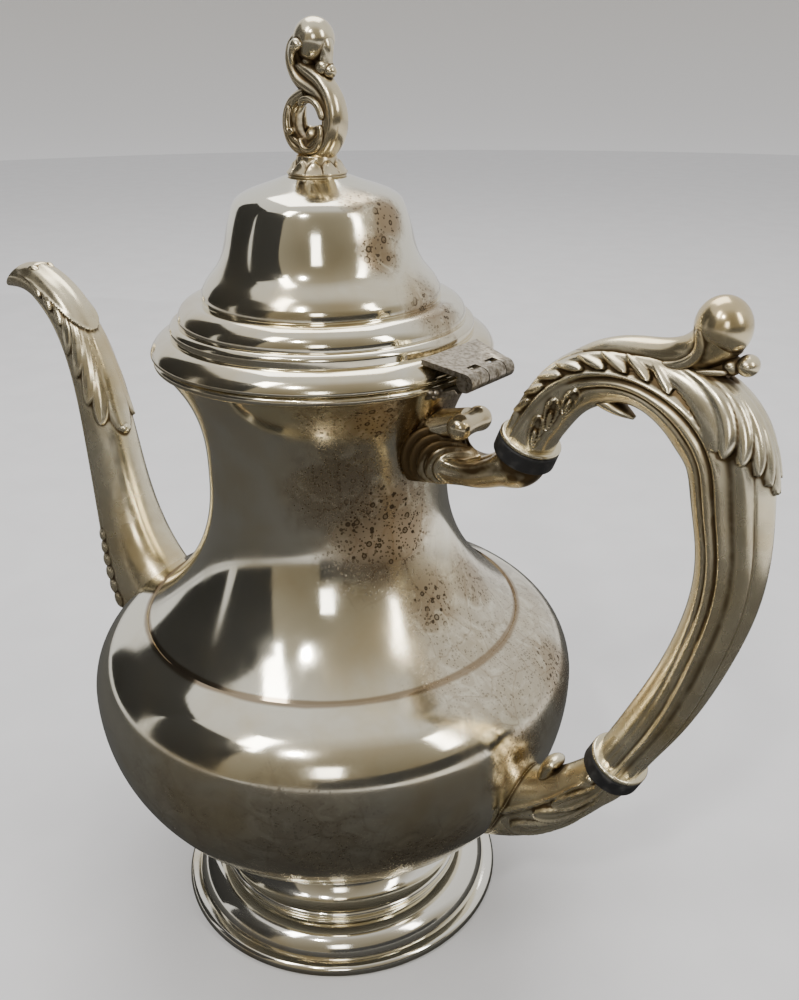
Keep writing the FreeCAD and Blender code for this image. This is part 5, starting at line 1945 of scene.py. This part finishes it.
@dataclass(frozen=True)
class DullFinish:
    """Unplated metal, grey or brassy, with a rough hand-filed skin."""

    name: str
    light: Colour
    dark: Colour
    roughness: float = 0.36
    grain: float = 520.0  # grains to a metre

    def material(self) -> Material:
        """Build the metal's material.

        Returns:
            The material.
        """
        s = Shader(self.name)
        grain = s.noise(self.grain, 6, warp=0.4)
        colour = s.mix(s.span(grain, 0.3, 0.72), self.dark, self.light)
        rough = s.span(grain, 0.3, 0.7, self.roughness * 1.35, self.roughness * 0.8)
        s.feed_all(s.surface, Base_Color=colour, Roughness=rough, Metallic=1.0)
        s.relief(grain, 0.35, 0.08)
        return s.material


@dataclass(frozen=True)
class FibreFinish:
    """Matt black moulded fibre of the heat breaks, rubbed greyer in places."""

    name: str
    black: Colour = (0.010, 0.010, 0.011)
    rubbed: Colour = (0.045, 0.043, 0.040)

    def material(self) -> Material:
        """Build the fibre's material.

        Returns:
            The material.
        """
        s = Shader(self.name)
        grain = s.noise(420, 5)
        colour = s.mix(s.span(grain, 0.5, 0.8), self.black, self.rubbed)
        s.feed_all(s.surface, Base_Color=colour, Roughness=s.span(grain, 0.3, 0.7, 0.5, 0.68))
        s.relief(grain, 0.3, 0.06)
        return s.material


@dataclass
class Studio:
    """The pale floor, the soft light and the camera."""

    camera_place: tuple[float, float, float] = (197.0, -211.2, 269.3)
    camera_turn: float = 38.77  # degrees about Z from looking along +Y
    camera_pitch: float = 24.09  # degrees down
    camera_roll: float = -0.45
    lens: float = 37.08
    sensor: float = 36.0
    floor_r: float = 2600.0
    sweep_r: float = 1500.0  # the floor curves up all round, so that no horizon shows
    aim: Vector = field(default_factory=lambda: Vector((0, 0, 0.12)))  # metres
    front: tuple[float, float, float] = (0.62, -0.66, -0.42)  # direction in which the room is dimmest
    room_strength: float = 0.9
    room_stops: Sequence[tuple[float, Colour]] = (
        (0.0, (0.95, 0.95, 0.97)), (0.45, (0.85, 0.84, 0.83)), (0.62, (0.43, 0.39, 0.31)),
        (0.85, (0.25, 0.22, 0.16)))
    table_r: float = 1000.0  # dark disc on the floor, which stands in for a table's cloth
    table_rise: float = 0.3
    table_place: tuple[float, float, float] = (-410.0, -420.0, 0.0)
    table_shade: float = 0.045
    cards: Sequence[tuple[str, float, float, float, Point, float]] = (  # as in card()
        ("left_card", -160, 0.56, 1.0, (0.80, 1.0), 0.02),
        ("near_card", -116, 0.52, 1.0, (0.72, 0.9), 0.025),
        ("front_card", -20, 0.16, 1.1, (1.7, 0.3), 0.03),
    )
    softboxes: Sequence[tuple[str, float, float, float, Point, float]] = (  # as in softbox()
        ("top_light", 130, 1.3, 0.6, (0.9, 0.9), 11),
        ("left_window", -95, 1.15, 0.9, (0.22, 0.5), 5),
        ("right_window", 4, 0.85, 1.2, (0.2, 0.6), 4),
        ("front_window", -52, 0.55, 1.2, (0.22, 0.3), 1.5),
        ("lamp", -70, 1.0, 0.9, (0.07, 0.07), 3),
    )
    tint: Colour = (1.0, 0.98, 0.95)

    def camera(self) -> None:
        """Put the camera where the photograph was taken from."""
        data = bpy.data.cameras.new("photo_camera")
        data.lens = self.lens
        data.sensor_width = self.sensor
        data.clip_start = 0.01
        camera = bpy.data.objects.new("photo_camera", data)
        bpy.context.scene.collection.objects.link(camera)
        turn = Matrix.Rotation(math.radians(self.camera_turn), 4, "Z")
        pitch = Matrix.Rotation(math.radians(90 - self.camera_pitch), 4, "X")
        roll = Matrix.Rotation(math.radians(self.camera_roll), 4, "Z")
        camera.matrix_world = Matrix.Translation(Vector(self.camera_place) * MM) @ turn @ pitch @ roll
        bpy.context.scene.camera = camera

    def floor(self) -> None:
        """Lay the pale floor, and a sweep round it that only the camera sees."""
        s = Shader("floor_pale")
        grain = s.noise(30, 4)
        colour = s.mix(s.span(grain, 0.3, 0.7), (0.74, 0.74, 0.76), (0.77, 0.77, 0.79))
        s.feed_all(s.surface, Base_Color=colour, Roughness=0.7)
        edge = (self.floor_r, 0.0)
        corner = self.sweep_r * math.sqrt(0.5)
        outer = self.floor_r + self.sweep_r
        curve = arc(edge, (self.floor_r + corner, self.sweep_r - corner), (outer, self.sweep_r), 24)
        floor = Bench.spun("floor", [(0.0, 0.0), edge], closed=False, steps=96)
        sweep = Bench.spun("sweep", [edge] + curve + [(outer, 3 * self.sweep_r)], closed=False, steps=96)
        for ray in ("diffuse", "glossy", "shadow", "transmission"):
            setattr(sweep, f"visible_{ray}", False)
        paper = Shader("backdrop_pale")
        paper.feed_all(paper.surface, Base_Color=(0.95, 0.95, 0.97), Roughness=0.9)
        for piece, shader in ((floor, s), (sweep, paper)):
            piece.data.materials.append(shader.material)

    def card(self, name: str, azimuth: float, height: float, distance: float, size: Point,
             shade: float) -> None:
        """Stand a card that only the metal sees, facing the pot.

        Args:
            name: Name of the card.
            azimuth: Degrees about Z from +X.
            height: Metres above the floor.
            distance: Metres from the pot's axis.
            size: Width and height in metres.
            shade: How much light it gives back.
        """
        Bench.clear()
        bpy.ops.mesh.primitive_plane_add(size=1)
        piece = bpy.context.object
        piece.name = name
        angle = math.radians(azimuth)
        place = Vector((distance * math.cos(angle), distance * math.sin(angle), height))
        aim = (self.aim - place).to_track_quat("Z", "Y").to_matrix().to_4x4()
        piece.matrix_world = Matrix.Translation(place) @ aim @ Matrix.Diagonal((*size, 1, 1))
        bpy.ops.object.transform_apply(location=True, rotation=True, scale=True)
        self.flag(piece, shade)

    def flag(self, piece: Piece, shade: float) -> None:
        """Stage a dark card that only the metal sees.

        Args:
            piece: The card.
            shade: How much light it gives back.
        """
        s = Shader(piece.name + "_cloth")
        weave = s.noise(60, 3)
        s.feed_all(s.surface, Base_Color=s.mix(weave, (shade * 0.8,) * 3, (shade * 1.2,) * 3), Roughness=0.9)
        piece.data.materials.append(s.material)
        for ray in ("camera", "diffuse", "shadow", "transmission"):
            setattr(piece, f"visible_{ray}", False)

    def softbox(self, name: str, azimuth: float, height: float, distance: float, size: Point,
                power: float) -> None:
        """Hang a soft light that faces the pot.

        Args:
            name: Name of the light.
            azimuth: Degrees about Z from +X.
            height: Metres above the floor.
            distance: Metres from the pot's axis.
            size: Width and height in metres.
            power: Watts.
        """
        data = bpy.data.lights.new(name, "AREA")
        data.shape = "RECTANGLE"
        data.size, data.size_y = size
        data.energy = power
        data.color = self.tint
        light = bpy.data.objects.new(name, data)
        bpy.context.scene.collection.objects.link(light)
        angle = math.radians(azimuth)
        light.location = (distance * math.cos(angle), distance * math.sin(angle), height)
        light.rotation_euler = (self.aim - light.location).to_track_quat("-Z", "Y").to_euler()

    def room(self) -> None:
        """Give the world a bright back and ceiling and a dimmer front."""
        world = bpy.data.worlds.new("studio_room")
        bpy.context.scene.world = world
        world.use_nodes = True
        tree = world.node_tree
        back = tree.nodes["Background"]
        coordinates = tree.nodes.new("ShaderNodeTexCoord")
        facing = tree.nodes.new("ShaderNodeVectorMath")
        facing.operation = "DOT_PRODUCT"
        facing.inputs[1].default_value = self.front
        tree.links.new(coordinates.outputs["Generated"], facing.inputs[0])
        ramp = tree.nodes.new("ShaderNodeValToRGB")
        remap = tree.nodes.new("ShaderNodeMapRange")
        remap.inputs["From Min"].default_value = -1.0
        tree.links.new(facing.outputs["Value"], remap.inputs["Value"])
        tree.links.new(remap.outputs[0], ramp.inputs[0])
        while len(ramp.color_ramp.elements) < len(self.room_stops):
            ramp.color_ramp.elements.new(0.5)
        for element, (place, colour) in zip(ramp.color_ramp.elements, self.room_stops):
            element.position = place
            element.color = (*colour, 1.0)
        tree.links.new(ramp.outputs[0], back.inputs["Color"])
        back.inputs["Strength"].default_value = self.room_strength

    def build(self) -> None:
        """Set up the studio."""
        self.camera()
        self.floor()
        self.room()
        disc = [(0.0, self.table_rise), (self.table_r, self.table_rise)]
        table = Bench.spun("table_flag", disc, closed=False, steps=64)
        self.flag(Bench.place(table, self.table_place, 0), self.table_shade)
        for row in self.cards:
            self.card(*row)
        for row in self.softboxes:
            self.softbox(*row)


@dataclass
class Hinge:
    """The two worn leaves of the lid's hinge."""

    edge: float = 0.22
    solder: Line = (  # x, y, z and radius of the crumbs under the body's leaf
        (47.6, -9.4, 187.0, 1.2), (46.8, -11.0, 187.3, 0.9), (48.6, -8.2, 186.6, 0.9),
        (47.2, -10.2, 186.0, 0.8))

    def build(self, metal: Material) -> None:
        """Make and seat the leaves, with their edges rubbed round and solder under the lower one.

        Args:
            metal: The hinge's material.
        """
        leaf = Bench.worn_copy("hinge_lid_leaf", "hinge_lid_leaf_worn", self.edge)
        seat(leaf, Body.LID, Slot.HINGE, metal, "hinge_lid_leaf")
        parts = [Bench.worn_copy("hinge_body_leaf", "hinge_body_leaf_worn", self.edge)]
        parts += [Bench.ball("solder", (x, y, z), radius, 1.4) for x, y, z, radius in self.solder]
        leaf = Bench.join("hinge_body_leaf_worn", parts)
        seat(leaf, Body.POT, Slot.HINGE, metal, "hinge_body_leaf")


def dress_nodes(materials: dict[Slot, Material]) -> None:
    """Give the nodes that stay as they are a material each.

    Args:
        materials: The material of each slot that a kept node has.
    """
    kept = {
        "upper_insulator": Slot.BLACK, "lower_insulator": Slot.BLACK, "upper_insulator_pins": Slot.BRASS,
        "lower_insulator_pins": Slot.BRASS, "finial_stud": Slot.BRASS, "finial_washer": Slot.BRASS,
        "finial_nut": Slot.BRASS, "hinge_pin": Slot.HINGE,
    }
    for node, slot in kept.items():
        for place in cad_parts[node].material_slots:
            place.material = materials[slot]
        LOG.info("%s keeps its shape, in %s", node, slot.value)


BODY_STAINS = (
    Stain((33, -14, 146), 24, 1.0), Stain((38, 4, 174), 21, 1.0), Stain((27, -24, 160), 20, 0.75),
    Stain((36, 12, 172), 16, 0.95), Stain((34, -20, 182), 14, 0.95), Stain((43, -5, 123), 16, 0.85),
    Stain((40, 14, 118), 15, 0.75), Stain((66, 22, 94), 16, 0.8), Stain((74, -8, 84), 16, 0.7),
    Stain((60, 0, 106), 36, 0.5), Stain((46, 34, 110), 30, 0.4), Stain((40, -58, 74), 30, 0.4),
    Stain((8, -70, 72), 28, 0.3), Stain((62, -36, 60), 26, 0.5), Stain((30, -33, 181), 13, 0.6))
LID_STAINS = (
    Stain((26, -5, 220), 9, 1.0), Stain((24, 0, 227), 8, 1.0), Stain((36, 4, 204), 13, 0.85),
    Stain((20, -6, 233), 8, 0.7))


def main() -> None:
    """Build the pot piece by piece."""
    logging.basicConfig(level=logging.INFO, format="%(name)s: %(message)s")
    body = PotBody()
    plate = PlateFinish("plate_body", stains=BODY_STAINS, seam_z=body.crease(0)[1]).material()
    bright = PlateFinish("plate_foot", silver=(0.92, 0.89, 0.79), film_low=0.50, roughness=0.09).material()
    lid_plate = PlateFinish("plate_lid", stains=LID_STAINS).material()
    cast = CastFinish("cast_plate").material()
    aged = CastFinish("cast_aged", (0.82, 0.74, 0.54), (0.55, 0.42, 0.22), roughness=0.20).material()
    hinge_metal = DullFinish("hinge_grey", (0.47, 0.42, 0.34), (0.15, 0.125, 0.09), 0.36, 900.0).material()
    kept = {
        Slot.BLACK: FibreFinish("black_fibre").material(),
        Slot.HINGE: hinge_metal,
        Slot.BRASS: DullFinish("fixing_brass", (0.62, 0.52, 0.32), (0.36, 0.28, 0.15), 0.3).material(),
    }
    spout = Spout(body)
    handle = Handle()
    Foot().build(bright)
    body.build(plate, spout.bore())
    Lid().build(lid_plate)
    spout.build(cast)
    handle.build(cast)
    Sockets(body, handle).build(aged, cast)
    Finial().build(aged)
    Hinge().build(hinge_metal)
    dress_nodes(kept)
    Studio().build()


if __name__ == "__main__":
    main()
